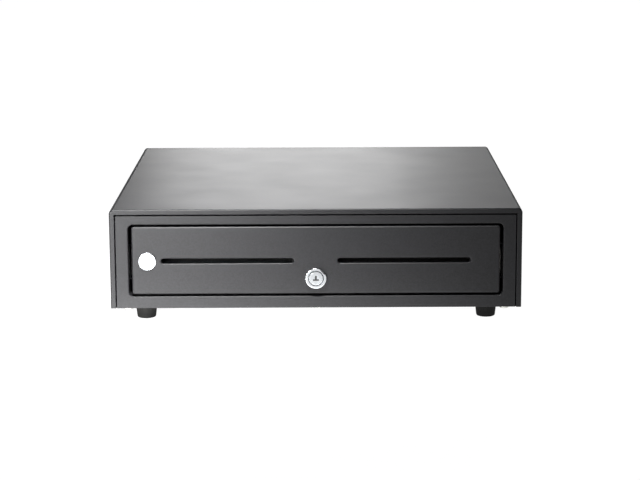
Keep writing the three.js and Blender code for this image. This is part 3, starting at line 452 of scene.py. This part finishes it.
def refined(*names, soft=0.3, segments=2):
    """The solids of CAD nodes, with whole flat faces and softened edges."""
    bm = bmesh.new()
    for name in names:
        bm.from_mesh(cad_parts[name].data)
    bm.transform(Matrix.Scale(1 / MM, 4))
    bmesh.ops.remove_doubles(bm, verts=bm.verts, dist=1e-3)
    bmesh.ops.dissolve_limit(bm, angle_limit=math.radians(0.5), verts=bm.verts, edges=bm.edges)
    bmesh.ops.recalc_face_normals(bm, faces=bm.faces)
    return rounded(bm, soft, segments)


def wire(points, radius, sides=10):
    """A round wire along points, with flat ends."""
    points = [Vector(p) for p in points]
    loops, side = [], None
    for i, point in enumerate(points):
        ahead = (points[min(i + 1, len(points) - 1)] - points[max(i - 1, 0)]).normalized()
        if side is None:
            side = ahead.orthogonal().normalized()
        side = (side - ahead * side.dot(ahead)).normalized()
        up = ahead.cross(side)
        loops.append([point + radius * (side * math.cos(a) + up * math.sin(a))
                      for a in (2 * math.pi * k / sides for k in range(sides))])
    return loft(loops)


def helix(axis, centre, coil_radius, start, end, turns, steps=20):
    """Points of a spring along x or y, with closed end turns."""
    count = int(turns * steps)
    closing = 0.35               # how far the end turns close up
    points = []
    for i in range(count + 1):
        angle = 2 * math.pi * i / steps
        share = i / count
        slowed = share - closing * math.sin(2 * math.pi * share) / (2 * math.pi)
        along = start + (end - start) * slowed
        a, b = coil_radius * math.cos(angle), coil_radius * math.sin(angle)
        if axis == "X":
            points.append((along, centre[0] + a, centre[1] + b))
        else:
            points.append((centre[0] + a, along, centre[1] + b))
    return points


def cross_recess(width, depth, top):
    """The cross that a driver bit fits, standing below a height."""
    thin, long = width * 0.13, width / 2
    taper = 0.45                 # width at the bottom, as a share of that at the top
    corners = ((-1, -1), (1, -1), (1, 1), (-1, 1))
    arms = []
    for half_x, half_y in ((long, thin), (thin, long)):
        low = [(x * half_x * taper, y * half_y * taper, top - depth) for x, y in corners]
        high = [(x * half_x, y * half_y, top + 0.5) for x, y in corners]
        arms.append(loft([low, high]))
    return arms


def pan_screw(head_radius, head_height, shank_radius, shank_length):
    """A cross-recessed pan-head screw standing along +Z, its head's seat at z = 0."""
    edge = head_height * 0.55
    profile = [(shank_radius, -shank_length), (shank_radius, 0), (head_radius, 0),
               (head_radius, head_height - edge)]
    profile += [(head_radius - inset, head_height - down) for down, inset in quarter(edge, 5, 15)]
    screw = turned(profile + [(TIP, head_height + 0.02 * head_radius)], 32)
    return carved(screw, *cross_recess(head_radius * 1.15, head_height * 0.6, head_height))


def rivet(radius, height, sunk, steps, sides, axis="Z"):
    """A rivet's domed head, pointing down its axis from a short sunk end."""
    dome = [(radius * math.cos(a), -height * math.sin(a)) for a in arc(0, 85, steps)]
    return turned([(radius, sunk)] + dome, sides, axis)


# ---------- rows of equal fittings ----------
def row_tree():
    """Copies of one shape, Count along Step and Rows along Row step, made real and painted."""
    tree = bpy.data.node_groups.new("row_of_fittings", "GeometryNodeTree")
    sockets = (("Geometry", "Geometry"), ("Shape", "Object"), ("First", "Vector"), ("Count", "Int"),
               ("Step", "Vector"), ("Rows", "Int"), ("Row step", "Vector"), ("Finish", "Material"))
    for name, kind in sockets:
        tree.interface.new_socket(name, in_out="INPUT", socket_type="NodeSocket" + kind)
    tree.interface.new_socket("Geometry", in_out="OUTPUT", socket_type="NodeSocketGeometry")
    given = node(tree, "NodeGroupInput").outputs
    rows = node(tree, "GeometryNodeMeshLine", {
        "Count": given["Rows"], "Start Location": given["First"], "Offset": given["Row step"]})
    line = node(tree, "GeometryNodeMeshLine", {"Count": given["Count"], "Offset": given["Step"]})
    lines = node(tree, "GeometryNodeInstanceOnPoints", {
        "Points": rows.outputs["Mesh"], "Instance": line.outputs["Mesh"]})
    places = node(tree, "GeometryNodeRealizeInstances", {"Geometry": lines.outputs["Instances"]})
    shape = node(tree, "GeometryNodeObjectInfo", {"Object": given["Shape"]})
    copies = node(tree, "GeometryNodeInstanceOnPoints", {
        "Points": places.outputs["Geometry"], "Instance": shape.outputs["Geometry"]})
    real = node(tree, "GeometryNodeRealizeInstances", {"Geometry": copies.outputs["Instances"]})
    painted = node(tree, "GeometryNodeSetMaterial", {
        "Geometry": real.outputs["Geometry"], "Material": given["Finish"]})
    node(tree, "NodeGroupOutput", {"Geometry": painted.outputs["Geometry"]})
    return tree


ROW = row_tree()


def row(bm, finish, first, count, step, rows=1, row_step=(0, 0, 0)):
    """A row or grid of a shape drawn round the origin."""
    shape = as_object(bm, "fitting")
    carrier = as_object(bmesh.new(), "row")
    modifier = carrier.modifiers.new("row", "NODES")
    modifier.node_group = ROW
    given = {"Shape": shape, "First": first, "Count": count, "Step": step, "Rows": rows,
             "Row step": row_step, "Finish": finish}
    for item in ROW.interface.items_tree:
        if item.item_type == "SOCKET" and item.in_out == "INPUT" and item.name in given:
            modifier[item.identifier] = given[item.name]
    mesh = evaluated(carrier)
    bpy.data.objects.remove(shape)
    result = bmesh.new()
    result.from_mesh(mesh)
    return result


def finished(bm, name, body, finish, *nodes, sharp=38):
    """A piece in its place: metres, smooth but for real edges, riding on its body."""
    bm.transform(Matrix.Scale(MM, 4))
    draft = as_object(bm, name + "_draft")
    draft.data.materials.clear()
    draft.data.materials.append(finish)
    draft.data.polygons.foreach_set("material_index", [0] * len(draft.data.polygons))
    draft.data.shade_smooth()
    draft.data.set_sharp_from_angle(angle=math.radians(sharp))
    weighted = draft.modifiers.new("normals", "WEIGHTED_NORMAL")
    weighted.keep_sharp = True
    mesh = evaluated(draft)
    mesh.name = name
    piece = bpy.data.objects.new(name, mesh)
    scene.collection.objects.link(piece)
    if body:
        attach(piece, body)
    if nodes:
        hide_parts(*nodes)
    return piece


# ---------- case ----------
SHEET = 1.2                  # wall of the folded cover and base
FOLD = 1.5                   # outer radius of the folds at the front and rear edges
HEM = 0.35                   # soft edge that the coat leaves on cut sheet
BEND = 4.5                   # outer radius between the cover's top and sides


def build_cover():
    """One folded sheet: top, sides, and the narrow lips round the front and the rear."""
    low, high = span("case_cover")
    bezel_low, bezel_high = span("front_bezel")
    side_gap, top_gap = 0.9, 1.2                 # between the front lips and the bezel
    side_lip = bezel_low.x - side_gap - low.x
    top_lip = high.z - top_gap - bezel_high.z
    rear_lip = 12.0
    front, rear = low.y, high.y
    inner = SHEET + 0.4
    profile = [(side_lip, top_lip, front + SHEET), (side_lip, top_lip, front + HEM),
               (side_lip - HEM, top_lip - HEM, front)]
    profile += [(inset, inset, front + back) for inset, back in quarter(FOLD)]
    profile += [(inset, inset, rear - back) for back, inset in quarter(FOLD)]
    profile += [(rear_lip - HEM, rear_lip - HEM, rear), (rear_lip, rear_lip, rear - HEM),
                (rear_lip, rear_lip, rear - SHEET), (inner, inner, rear - SHEET),
                (SHEET, SHEET, rear - inner), (SHEET, SHEET, front + inner),
                (inner, inner, front + SHEET)]

    def section(side, angle, at_bottom):
        loop = []
        for inset_x, inset_z, y in profile:
            radius = max(BEND - inset_x, 0)
            centre_x = high.x - max(BEND, inset_x)
            centre_z = high.z - max(BEND, inset_z)
            x = centre_x + radius * math.cos(angle)
            z = low.z if at_bottom else centre_z + radius * math.sin(angle)
            loop.append((side * x, y, z))
        return loop

    bend = arc(0, 90, 8)
    sections = [section(-1, 0, True)] + [section(-1, a, False) for a in bend]
    sections += [section(1, a, False) for a in reversed(bend)] + [section(1, 0, True)]
    cover = loft(sections)
    screws = [span(f"cover_screw_{side}") for side, _ in SIDES]
    hole = [(2.0, -4), (2.0, 4)]
    holes = [turned(hole, 24, "Y", ((a.x + b.x) / 2, rear, (a.z + b.z) / 2)) for a, b in screws]
    finished(carved(cover, *holes), "case_cover_sheet", "case", POWDER, "case_cover")


def build_base():
    """The folded base with its rear wall, and the rivets that hold the slide brackets."""
    finished(refined("base_pan", soft=0.3), "base_pan_sheet", "case", POWDER, "base_pan")
    low, high = span("slide_bracket_left")
    underside = span("base_pan")[0].z
    rivets, end_gap = 4, 20.0                    # in each row, and to the bracket's ends
    first = ((low.x + high.x) / 2, low.y + end_gap, underside)
    step = (0, (high.y - low.y - 2 * end_gap) / (rivets - 1), 0)
    rows = row(rivet(2.6, 0.9, 0.4, 5, 20), ZINC, first, rivets, step,
               2, (-low.x - high.x, 0, 0))
    finished(rows, "base_rivets", "case", ZINC)


def build_bezel():
    """The front frame: flat face, rolled edge into the opening, and folded collars behind."""
    low, high = span("front_bezel")
    front = low.y
    face, collar, opening_r, roll = 1.5, 14.0, 5.0, 1.1
    rail_x, rail_low, rail_high, lift = 12.5, 12.0, 9.0, 1.5
    half = high.x
    open_x, open_z0, open_z1 = half - rail_x, low.z + rail_low, high.z - rail_high

    def frame_loop(inset, y, raised=0.0):
        bottom = low.z + inset + raised
        return standing(outline(-half + inset, half - inset, bottom, high.z - inset, 0), y)

    def mouth_loop(outset, y):
        shape = outline(-open_x - outset, open_x + outset, open_z0 - outset, open_z1 + outset,
                        opening_r + outset)
        return standing(shape, y)

    loops = [frame_loop(0, front + collar, lift), frame_loop(0, front + face, lift),
             frame_loop(0, front + face), frame_loop(0, front + HEM), frame_loop(HEM, front)]
    loops += [mouth_loop(outset, front + back) for outset, back in quarter(roll)]
    loops += [mouth_loop(0, front + collar - HEM), mouth_loop(HEM, front + collar),
              mouth_loop(SHEET, front + collar), mouth_loop(SHEET, front + face),
              frame_loop(SHEET, front + face, lift), frame_loop(SHEET, front + collar, lift)]
    shell = loft(loops, closed=True)
    tongue = block(-half, half, front + face / 2, high.y, low.z + lift, low.z + lift + SHEET, 0.25)
    finished(joined(shell, tongue), "front_bezel_sheet", "case", POWDER, "front_bezel")


def build_feet():
    """Four moulded rubber feet, each with a washer and screw up inside its recess."""
    low, high = span("foot_front_left")
    rear_low, _ = span("foot_rear_left")
    right_low, _ = span("foot_front_right")
    top, wide, taper = high.z, (high.x - low.x) / 2, 0.85
    narrow, recess, hole, roof = wide - taper, 4.6, 2.3, 4.0
    first = ((low.x + high.x) / 2, (low.y + high.y) / 2, 0)
    step, row_step = (right_low.x - low.x, 0, 0), (0, rear_low.y - low.y, 0)
    profile = [(recess + 0.5, 0)] + [(narrow - inset, up) for inset, up in quarter(1.6)]
    profile += [(wide - 0.25, top * 0.55), (wide, top - 1.6), (wide, top - 0.7)]
    profile += [(wide - inset, top - down) for down, inset in quarter(0.6, 4, 20)]
    profile += [(hole, top), (hole, top - roof), (recess, top - roof), (recess, 0.5)]
    feet = row(turned_ring(profile, 48), RUBBER, first, 2, step, 2, row_step)
    finished(feet, "feet", "case", RUBBER,
             "foot_front_left", "foot_front_right", "foot_rear_left", "foot_rear_right")
    screw = pan_screw(3.4, 2.0, 1.9, 3.0)
    screw.transform(UPSIDE_DOWN)
    washer = turned_ring([(2.0, -0.1), (4.3, -0.1), (4.3, -0.8), (2.0, -0.8)], 32)
    lifted = (first[0], first[1], top - roof - 0.1)
    fixings = row(joined(screw, washer), ZINC, lifted, 2, step, 2, row_step)
    finished(fixings, "foot_screws", "case", ZINC)


def build_case_screws():
    """Cross-head screws under the front edge and at the cover's rear."""
    for kind, head in (("bezel_screw", 2.2), ("catch_screw", 1.5)):
        low, high = span(kind + "_left")
        right = span(kind + "_right")[0]
        radius = (high.x - low.x) / 2
        screw = pan_screw(radius, head, radius * 0.42, high.z - low.z - head)
        screw.transform(UPSIDE_DOWN)
        first = ((low.x + high.x) / 2, (low.y + high.y) / 2, low.z + head)
        finished(row(screw, ZINC, first, 2, (right.x - low.x, 0, 0)), kind + "s", "case", ZINC,
                 kind + "_left", kind + "_right")
    low, high = span("cover_screw_left")
    right = span("cover_screw_right")[0]
    head, dome = 1.9, 0.07                       # head at its edge, and what its dome adds
    screw = pan_screw((high.x - low.x) / 2, head, 1.5, high.y - low.y - head)
    screw.transform(FROM_Z["Y"])
    first = ((low.x + high.x) / 2, high.y - head - dome, (low.z + high.z) / 2)
    finished(row(screw, POWDER, first, 2, (right.x - low.x, 0, 0)), "cover_screws", "case", POWDER,
             "cover_screw_left", "cover_screw_right")


# ---------- drawer ----------
SLEEVE_PAST_SLOT = 1.5       # from a slot's edge to the outside of its sleeve


def slot_outline(side, grow=0.0, steps=8):
    """The outline of a media slot, with round ends."""
    low, high = span("media_sleeve_" + ("left" if side < 0 else "right"))
    inset = SLEEVE_PAST_SLOT - grow
    z0, z1 = low.z + inset, high.z - inset
    return outline(low.x + inset, high.x - inset, z0, z1, (z1 - z0) / 2 - 0.01, steps)


def build_drawer_front():
    """A folded front with soft edges, two slots with pressed lips and the lock's hole."""
    low, high = span("drawer_front")
    corner, fold, wall, plate, lip = 2.6, 2.0, 1.2, 2.2, 1.4
    front, back = low.y, high.y

    def loop(inset, y):
        shape = outline(low.x + inset, high.x - inset, low.z + inset, high.z - inset,
                        corner - inset)
        return standing(shape, y)

    loops = [loop(inset, front + deep) for inset, deep in quarter(fold, 6)]
    loops += [loop(0, back - HEM), loop(HEM, back), loop(wall, back), loop(wall, front + plate)]
    shell = loft(loops)
    barrel_low, barrel_high = span("lock_barrel")
    lock_z = (barrel_low.z + barrel_high.z) / 2
    mouth = [(lip, front - 1)] + [(grow, front + deep) for grow, deep in quarter(lip)]
    mouth.append((0, front + plate + 1))
    cutters = [loft([standing(slot_outline(side, grow), y) for grow, y in mouth])
               for _, side in SIDES]
    lock_hole = [(9.3, -3), (9.3, 3)]
    cutters.append(turned(lock_hole, 48, "Y", (0, front + 0.5, lock_z)))
    finished(carved(shell, *cutters), "drawer_front_sheet", "drawer", POWDER, "drawer_front")


def build_badge():
    """A plain stamped disc: bright rim, white lacquered face, no lettering."""
    low, high = span("badge")
    radius, deep = (high.x - low.x) / 2, high.y - low.y
    at = ((low.x + high.x) / 2, high.y, (low.z + high.z) / 2)
    inside = radius - 0.9                        # where the face meets the rim
    dome = [((radius - 1.1) * math.cos(a), -deep * (0.8 + 0.12 * math.sin(a)))
            for a in arc(5, 88, 8)]
    face = turned([(inside, 0), (inside, -deep * 0.72)] + dome, 64, "Y", at)
    rim = turned_ring([(inside, 0), (radius, 0), (radius, -deep * 0.55),
                       (radius - 0.25, -deep * 0.9), (radius - 0.5, -deep),
                       (radius - 0.8, -deep * 0.9), (inside, -deep * 0.7)], 64, "Y", at)
    finished(face, "badge_face", "drawer", LACQUER, "badge")
    finished(rim, "badge_rim", "drawer", CHROME)


def build_sleeves():
    """Moulded sleeves that line the slots, with a flared mouth at the front."""
    outer, inner, ease = SLEEVE_PAST_SLOT, 0.3, 0.3
    for side_name, side in SIDES:
        name = "media_sleeve_" + side_name
        low, high = span(name)
        loops = [standing(slot_outline(side, grow), y) for grow, y in (
            (outer, low.y + 0.2), (outer, high.y - ease), (outer - ease, high.y),
            (inner + ease, high.y), (inner, high.y - ease), (inner, low.y + 0.6),
            (inner + ease, low.y + 0.1), (outer - ease, low.y + 0.001))]
        finished(loft(loops, closed=True), name + "_moulding", "drawer", ABS, name)


def build_tray():
    """The drawer's tray and the rails that carry the till, riveted through the slides."""
    finished(refined("drawer_tray", soft=0.3), "drawer_tray_sheet", "drawer", POWDER, "drawer_tray")
    for side_name, _ in SIDES:
        name = "till_rail_" + side_name
        finished(refined(name, soft=0.3), name + "_strip", "drawer", POWDER, name)
    low, high = span("drawer_tray")
    slide_low, slide_high = span("slide_inner_left")
    rivets, front_gap, rear_gap, wall = 5, 35.0, 25.0, 1.0
    on_right = rivet(2.4, 0.7, 0.3, 4, 16, "X")
    on_left = on_right.copy()
    on_left.transform(Matrix.Rotation(math.pi, 4, "Z"))
    y, z = slide_low.y + front_gap, (slide_low.z + slide_high.z) / 2
    step = (0, (slide_high.y - slide_low.y - front_gap - rear_gap) / (rivets - 1), 0)
    left = row(on_left, ZINC, (low.x + wall, y, z), rivets, step)
    right = row(on_right, ZINC, (high.x - wall, y, z), rivets, step)
    finished(joined(left, right), "tray_rivets", "drawer", ZINC)


# ---------- lock ----------
def build_lock():
    """A chromed ring and plug: thin groove between them, notch in the ring, T keyway."""
    low, high = span("lock_barrel")
    plug_low, plug_high = span("lock_plug")
    middle_z = (low.z + high.z) / 2
    at = (0, low.y, middle_z)
    ring, plug = (high.x - low.x) / 2, (plug_high.x - plug_low.x) / 2
    bore, barrel, proud, deep = plug + 0.3, 9.0, 3.6, high.y - low.y
    profile = [(bore, 0.9), (bore + 0.1, 0.4), (bore + 0.35, 0.0), (ring - 0.7, 0.0)]
    profile += [(ring - inset, back) for inset, back in quarter(0.6, 5, 15)]
    profile += [(ring, proud - 0.2), (ring - 0.2, proud), (barrel, proud)]
    thread, pitch, groove, half_groove = 5.0, 1.1, 0.35, 0.45
    while thread < deep - 1:
        profile += [(barrel, thread), (barrel - groove, thread + half_groove),
                    (barrel, thread + 2 * half_groove)]
        thread += pitch
    profile += [(barrel - 0.4, deep), (bore, deep)]
    notch_half, notch_turn = 3.2, math.radians(46)
    notch = block(-notch_half, notch_half, -1, proud + 0.4, barrel - 0.3, ring + 1)
    notch.transform(Matrix.Translation(at) @ Matrix.Rotation(notch_turn, 4, "Y"))
    finished(carved(turned_ring(profile, 72, "Y", at), notch), "lock_ring", "drawer", CHROME,
             "lock_barrel")

    front = plug_low.y
    length, shank_half = high.y - front, 3.0
    body = [(TIP, 0.12), (2.8, 0.12), (3.4, 0.02), (plug - 0.75, 0.0), (plug - 0.4, 0.12),
            (plug - 0.15, 0.5), (plug, 0.8), (plug, length), (TIP, length)]
    face = turned(body, 64, "Y", (0, front, middle_z))
    # stem and bar of the T: half width, bottom and top from the middle, depth of its shutter
    strokes = ((0.95, -1.2, 2.6, 2.2), (2.9, -2.4, -0.9, 2.4))
    keyway = [block(-half, half, front - 1, front + 9, middle_z + under, middle_z + over, 0.3)
              for half, under, over, _ in strokes]
    shank = block(-shank_half, shank_half, high.y - 0.5, plug_high.y,
                  middle_z - shank_half, middle_z + shank_half, 0.3)
    finished(joined(carved(face, *keyway), shank), "lock_plug_turned", "lock", CHROME, "lock_plug")
    room = 0.05                                  # round the shutter, in the keyway
    shutter = [block(room - half, half - room, front + sunk, front + 8.5,
                     middle_z + under + room, middle_z + over - room, 0.25)
               for half, under, over, sunk in strokes]
    finished(joined(*shutter), "keyway_shutter", "lock", ABS)

    finished(refined("lock_nut", soft=0.4), "lock_nut_hex", "drawer", ZINC, "lock_nut")
    finished(refined("lock_cam", soft=0.35), "lock_cam_stamping", "lock", ZINC, "lock_cam")
    screw_low, screw_high = span("cam_screw")
    radius, head, seat = (screw_high.x - screw_low.x) / 2, 1.7, screw_high.y - 1.8
    screw = pan_screw(radius, head, 1.4, seat - screw_low.y)
    screw.transform(Matrix.Translation((0, seat, middle_z)) @ FROM_Z["Y"])
    finished(screw, "cam_screw_head", "lock", ZINC, "cam_screw")
    finished(refined("lock_catch", soft=0.3), "lock_catch_stamping", "case", ZINC, "lock_catch")


# ---------- slides ----------
BALLS = 16                   # in each race of a cage
BALL_END = 6.0               # from the end of a cage to its first ball
BALL_SUNK, BALL_SHIFT = 0.3, 0.4             # into the cage's edge, and towards the middle


def build_slides():
    """Three nested channels on each side, with their balls held in two cages."""
    bodies = {"outer": "case", "middle": "middle_{}", "inner": "drawer"}
    for side_name, side in SIDES:
        for member, body in bodies.items():
            name = f"slide_{member}_{side_name}"
            finish = ZINC if member == "middle" else BLACK_ZINC
            finished(refined(name, soft=0.25), name + "_strip", body.format(side_name), finish,
                     name)
        name = "slide_bracket_" + side_name
        finished(refined(name, soft=0.3), name + "_strip", "case", BLACK_ZINC, name)
        for member, radius in (("outer", 1.65), ("inner", 1.05)):
            name = f"ball_cage_{member}_{side_name}"
            body = f"{member}_cage_{side_name}"
            low, high = span(name)
            finished(refined(name, soft=0.12), name + "_strip", body, ABS, name)
            ball = turned([(max(radius * math.sin(a), TIP), -radius * math.cos(a))
                           for a in arc(0, 180, 8)], 12)
            first = ((low.x + high.x) / 2 - side * BALL_SHIFT, low.y + BALL_END, low.z + BALL_SUNK)
            step = (0, (high.y - low.y - 2 * BALL_END) / (BALLS - 1), 0)
            balls = row(ball, WIRE, first, BALLS, step, 2, (0, 0, high.z - low.z - 2 * BALL_SUNK))
            finished(balls, f"slide_balls_{member}_{side_name}", body, WIRE)


# ---------- till ----------
POCKETS = 5


def build_till():
    """One moulding: a row of scooped coin cups in front of a row of note pockets."""
    low, high = span("cash_till")
    wall, coin_length, scoop, corner = 2.4, 104.0, 16.0, 6.0
    pocket = (high.x - low.x - (POCKETS + 1) * wall) / POCKETS
    rod_low, rod_high = span("clip_rod")
    rod_y, rod_z = (rod_low.y + rod_high.y) / 2, (rod_low.z + rod_high.z) / 2
    coin_end = low.y + wall + coin_length
    floor, above = low.z + wall, high.z + 20

    def pocket_tool(x, y0, y1, radius):
        shape = outline(y0, y1, floor, above, radius, 8)
        tool = loft([[(x, y, z) for y, z in shape], [(x + pocket, y, z) for y, z in shape]])
        return rounded(tool, 1.6, 3, lambda middle: middle.z < high.z - 2, 60)

    tools = []
    for i in range(POCKETS):
        x = low.x + wall + i * (pocket + wall)
        tools.append(pocket_tool(x, low.y + wall, coin_end, scoop))
        tools.append(pocket_tool(x, coin_end + wall, high.y - wall, corner))
    body = block(low.x, high.x, low.y, high.y, low.z, high.z)
    upright = [e for e in body.edges if abs(e.verts[0].co.z - e.verts[1].co.z) > 10]
    bmesh.ops.bevel(body, geom=upright, offset=3, segments=5, profile=0.5, affect="EDGES")
    bore = turned([(2.3, low.x + wall / 2), (2.3, high.x - wall / 2)], 24, "X", (0, rod_y, rod_z))
    till = carved(body, joined(*tools), bore)
    rounded(till, 0.55, 2, lambda middle: abs(middle.z - high.z) < 0.05, 60)
    finished(till, "cash_till_moulding", "drawer", ABS, "cash_till")
    length, rod_r, ease = rod_high.x - rod_low.x, 2.0, 0.5
    rod = [(TIP, 0), (1.6, 0), (rod_r, ease), (rod_r, length - ease), (1.6, length), (TIP, length)]
    finished(turned(rod, 24, "X", (rod_low.x, rod_y, rod_z)), "clip_rod_drawn", "drawer", WIRE,
             "clip_rod")
    coil_r, coil_start, coil_end, turns, wire_r = 2.75, 7.9, 11.2, 3.5, 0.35
    for i in range(POCKETS):
        name = f"note_clip_{i + 1}"
        body = f"clip_{i + 1}"
        finished(refined(name, soft=0.35, segments=3), name + "_moulding", body, ABS, name)
        clip_low, clip_high = span(name)
        middle = (clip_low.x + clip_high.x) / 2
        coils = [wire(helix("X", (rod_y, rod_z), coil_r, middle + side * coil_start,
                            middle + side * coil_end, turns), wire_r, 8)
                 for _, side in SIDES]
        finished(joined(*coils), f"note_clip_spring_{i + 1}", body, WIRE)


# ---------- latch, switch and ejector ----------
def build_latch():
    """The solenoid latch with its hook and strike, the switch, and the ejector."""
    for name, body, soft in (
            ("latch_plate", "case", 0.3), ("strike", "drawer", 0.3), ("latch_hook", "hook", 0.35),
            ("latch_pivot_pin", "case", 0.3), ("solenoid_frame", "case", 0.3),
            ("solenoid_plunger", "plunger", 0.3)):
        finished(refined(name, soft=soft), name + "_steel", body, ZINC, name)
    low, high = span("solenoid_coil")
    radius, length = (high.z - low.z) / 2, high.x - low.x
    at = (low.x, (low.y + high.y) / 2, (low.z + high.z) / 2)
    cheek, bore, wound, ease = 1.4, 5.6, radius - 0.5, 0.2
    profile = [(bore, 0), (radius - ease, 0), (radius, ease), (radius, cheek), (wound, cheek)]
    turns, ripple = 16, 0.12
    for i in range(turns):
        along = cheek + (length - 2 * cheek) * (i + 0.5) / turns
        profile += [(wound + (ripple if i % 2 else 0.0), along)]
    profile += [(wound, length - cheek), (radius, length - cheek), (radius, length - ease),
                (radius - ease, length), (bore, length)]
    finished(turned_ring(profile, 48, "X", at), "solenoid_coil_wound", "case", TAPE,
             "solenoid_coil")
    for name, body, finish, soft, kind in (
            ("drawer_switch", "case", ABS, 0.4, "_moulding"),
            ("switch_lever", "lever", WIRE, 0.15, "_strip"),
            ("ejector_guide", "case", ABS, 0.5, "_moulding"),
            ("ejector_plunger", "ejector", ZINC, 0.5, "_turned")):
        finished(refined(name, soft=soft), name + kind, body, finish, name)


def build_springs():
    """Both coil springs, wound from end to end of their boxes and left fixed in place."""
    for name, axis, body, wire_radius, turns in (
            ("latch_spring", "X", "plunger", 0.5, 4.5),
            ("ejector_spring", "Y", "ejector", 0.6, 6.5)):
        low, high = span(name)
        middle = (low + high) / 2
        along, across = (0, 1) if axis == "X" else (1, 0)
        coil_radius = (high[across] - low[across]) / 2 - wire_radius
        centre = (middle[across], middle.z)
        points = helix(axis, centre, coil_radius, low[along] + wire_radius,
                       high[along] - wire_radius, turns)
        piece = finished(wire(points, wire_radius), name + "_wire", None, WIRE)
        start, end = middle.copy(), middle.copy()
        start[along], end[along] = low[along], high[along]
        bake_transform(piece)
        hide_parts(name)


# ---------- interface jack and inner lead ----------
def build_jack():
    """The interface jack with its sprung contacts, and the short inner lead."""
    name = "interface_jack"
    finished(refined(name, soft=0.3), name + "_moulding", "case", ABS, name)
    low, high = span(name)
    contacts, pitch = 6, 1.44
    contact = wire([(0, 0, 0), (0, -5, -0.4), (0, -7.5, -1.6), (0, -9.5, -3.2)], 0.25, 8)
    first = ((low.x + high.x) / 2 - pitch * (contacts - 1) / 2, high.y - 2.5, high.z - 2.3)
    finished(row(contact, GOLD, first, contacts, (pitch, 0, 0)), "jack_contacts", "case", GOLD)
    finished(refined("wiring_lead", soft=0.05, segments=1), "wiring_lead_sheath", "case", PVC,
             "wiring_lead", sharp=80)


# ---------- room: floor and lights ----------
FLOOR_SIZE = 24.0
FLOOR_Z, STRIP_Z = -0.0005, -0.0003          # just under the feet, the strip over the floor
FLOOR_GLOW, WORLD_GLOW = 1.0, 0.02
STRIP_LONG, STRIP_DEEP, STRIP_GAP = 0.5, 0.06, 0.005
PAINTED_GLOW_LEFT, PAINTED_GLOW_RIGHT = 9.0, 1.4           # painted light: glow of the strip of floor along the front, a pool of light painted brighter at the left
STRIP_FADE = 0.8                             # share of its length over which the glow changes
# name: place in metres, point aimed at, width, height, beam in degrees, power in watts
LIGHTS = {
    "wall_behind": ((-0.1, 3.2, 0.65), (0, 0, 0.11), 0.7, 0.5, 180, 12.7),
    "wall_behind_right": ((0.55, 3.2, 0.65), (0, 0, 0.11), 0.6, 0.5, 180, 2.7),
    "key_left": ((-0.58, -1.5, 0.18), (-0.18, -0.2, 0.05), 0.25, 0.2, 25, 1.2),
    "over_front": ((-0.16, -0.62, 1.1), (-0.16, -0.2, 0.08), 0.25, 0.08, 45, 3.8),
}


def glowing(name, left, right, start, end):
    """A matt pale floor whose glow runs from one strength to another across x, in metres."""
    material, tree, shader, place = new_finish(name, Roughness=0.9)
    shader.inputs["Base Color"].default_value = linear("#606060")
    shader.inputs["Emission Color"].default_value = linear("#ffffff")
    across = node(tree, "ShaderNodeSeparateXYZ", {"Vector": place}).outputs["X"]
    glow = spread(tree, across, left, right, start, end)
    tree.links.new(glow, shader.inputs["Emission Strength"])
    return material


def build_floor():
    """A seamless pale floor, evenly white, with a strip along the front that glows brighter: a
    painted pool of light, stronger at the left.
    """
    bm = bmesh.new()
    bmesh.ops.create_grid(bm, x_segments=1, y_segments=1, size=FLOOR_SIZE / 2)
    floor = as_object(bm, "floor")
    floor.location.z = FLOOR_Z
    floor.data.materials.append(glowing("studio_floor", FLOOR_GLOW, FLOOR_GLOW, -1, 1))
    bm = bmesh.new()
    half, near = STRIP_LONG / 2, cad_low.y - STRIP_GAP
    far = near - STRIP_DEEP
    corners = ((-half, far, 0), (half, far, 0), (half, near, 0), (-half, near, 0))
    bm.faces.new([bm.verts.new(corner) for corner in corners])
    # painted light: this strip of floor glows as a pool of light, brighter at the left and fading
    # to the right
    strip = as_object(bm, "floor_strip")
    strip.location.z = STRIP_Z
    fade = half * STRIP_FADE
    strip.data.materials.append(glowing("studio_floor_painted_light_pool", PAINTED_GLOW_LEFT, PAINTED_GLOW_RIGHT, -fade, fade))


def build_lights():
    """Area lights aimed at their points, and a faint even glow all round."""
    for name, (place, target, width, height, beam, power) in LIGHTS.items():
        data = bpy.data.lights.new(name, "AREA")
        data.shape, data.size, data.size_y, data.energy = "RECTANGLE", width, height, power
        data.spread = math.radians(beam)
        light = bpy.data.objects.new(name, data)
        scene.collection.objects.link(light)
        light.location = place
        aim = Vector(target) - Vector(place)
        light.rotation_euler = aim.to_track_quat("-Z", "Y").to_euler()
        light.visible_camera = False
    world = bpy.data.worlds.new("studio")
    world.use_nodes = True
    backdrop = world.node_tree.nodes["Background"]
    backdrop.inputs["Color"].default_value = linear("#ffffff")
    backdrop.inputs["Strength"].default_value = WORLD_GLOW
    scene.world = world


scene.view_settings.view_transform = "Standard"
build_camera()
build_cover()
build_base()
build_bezel()
build_feet()
build_case_screws()
build_drawer_front()
build_badge()
build_sleeves()
build_tray()
build_lock()
build_slides()
build_till()
build_latch()
build_springs()
build_jack()
build_floor()
build_lights()
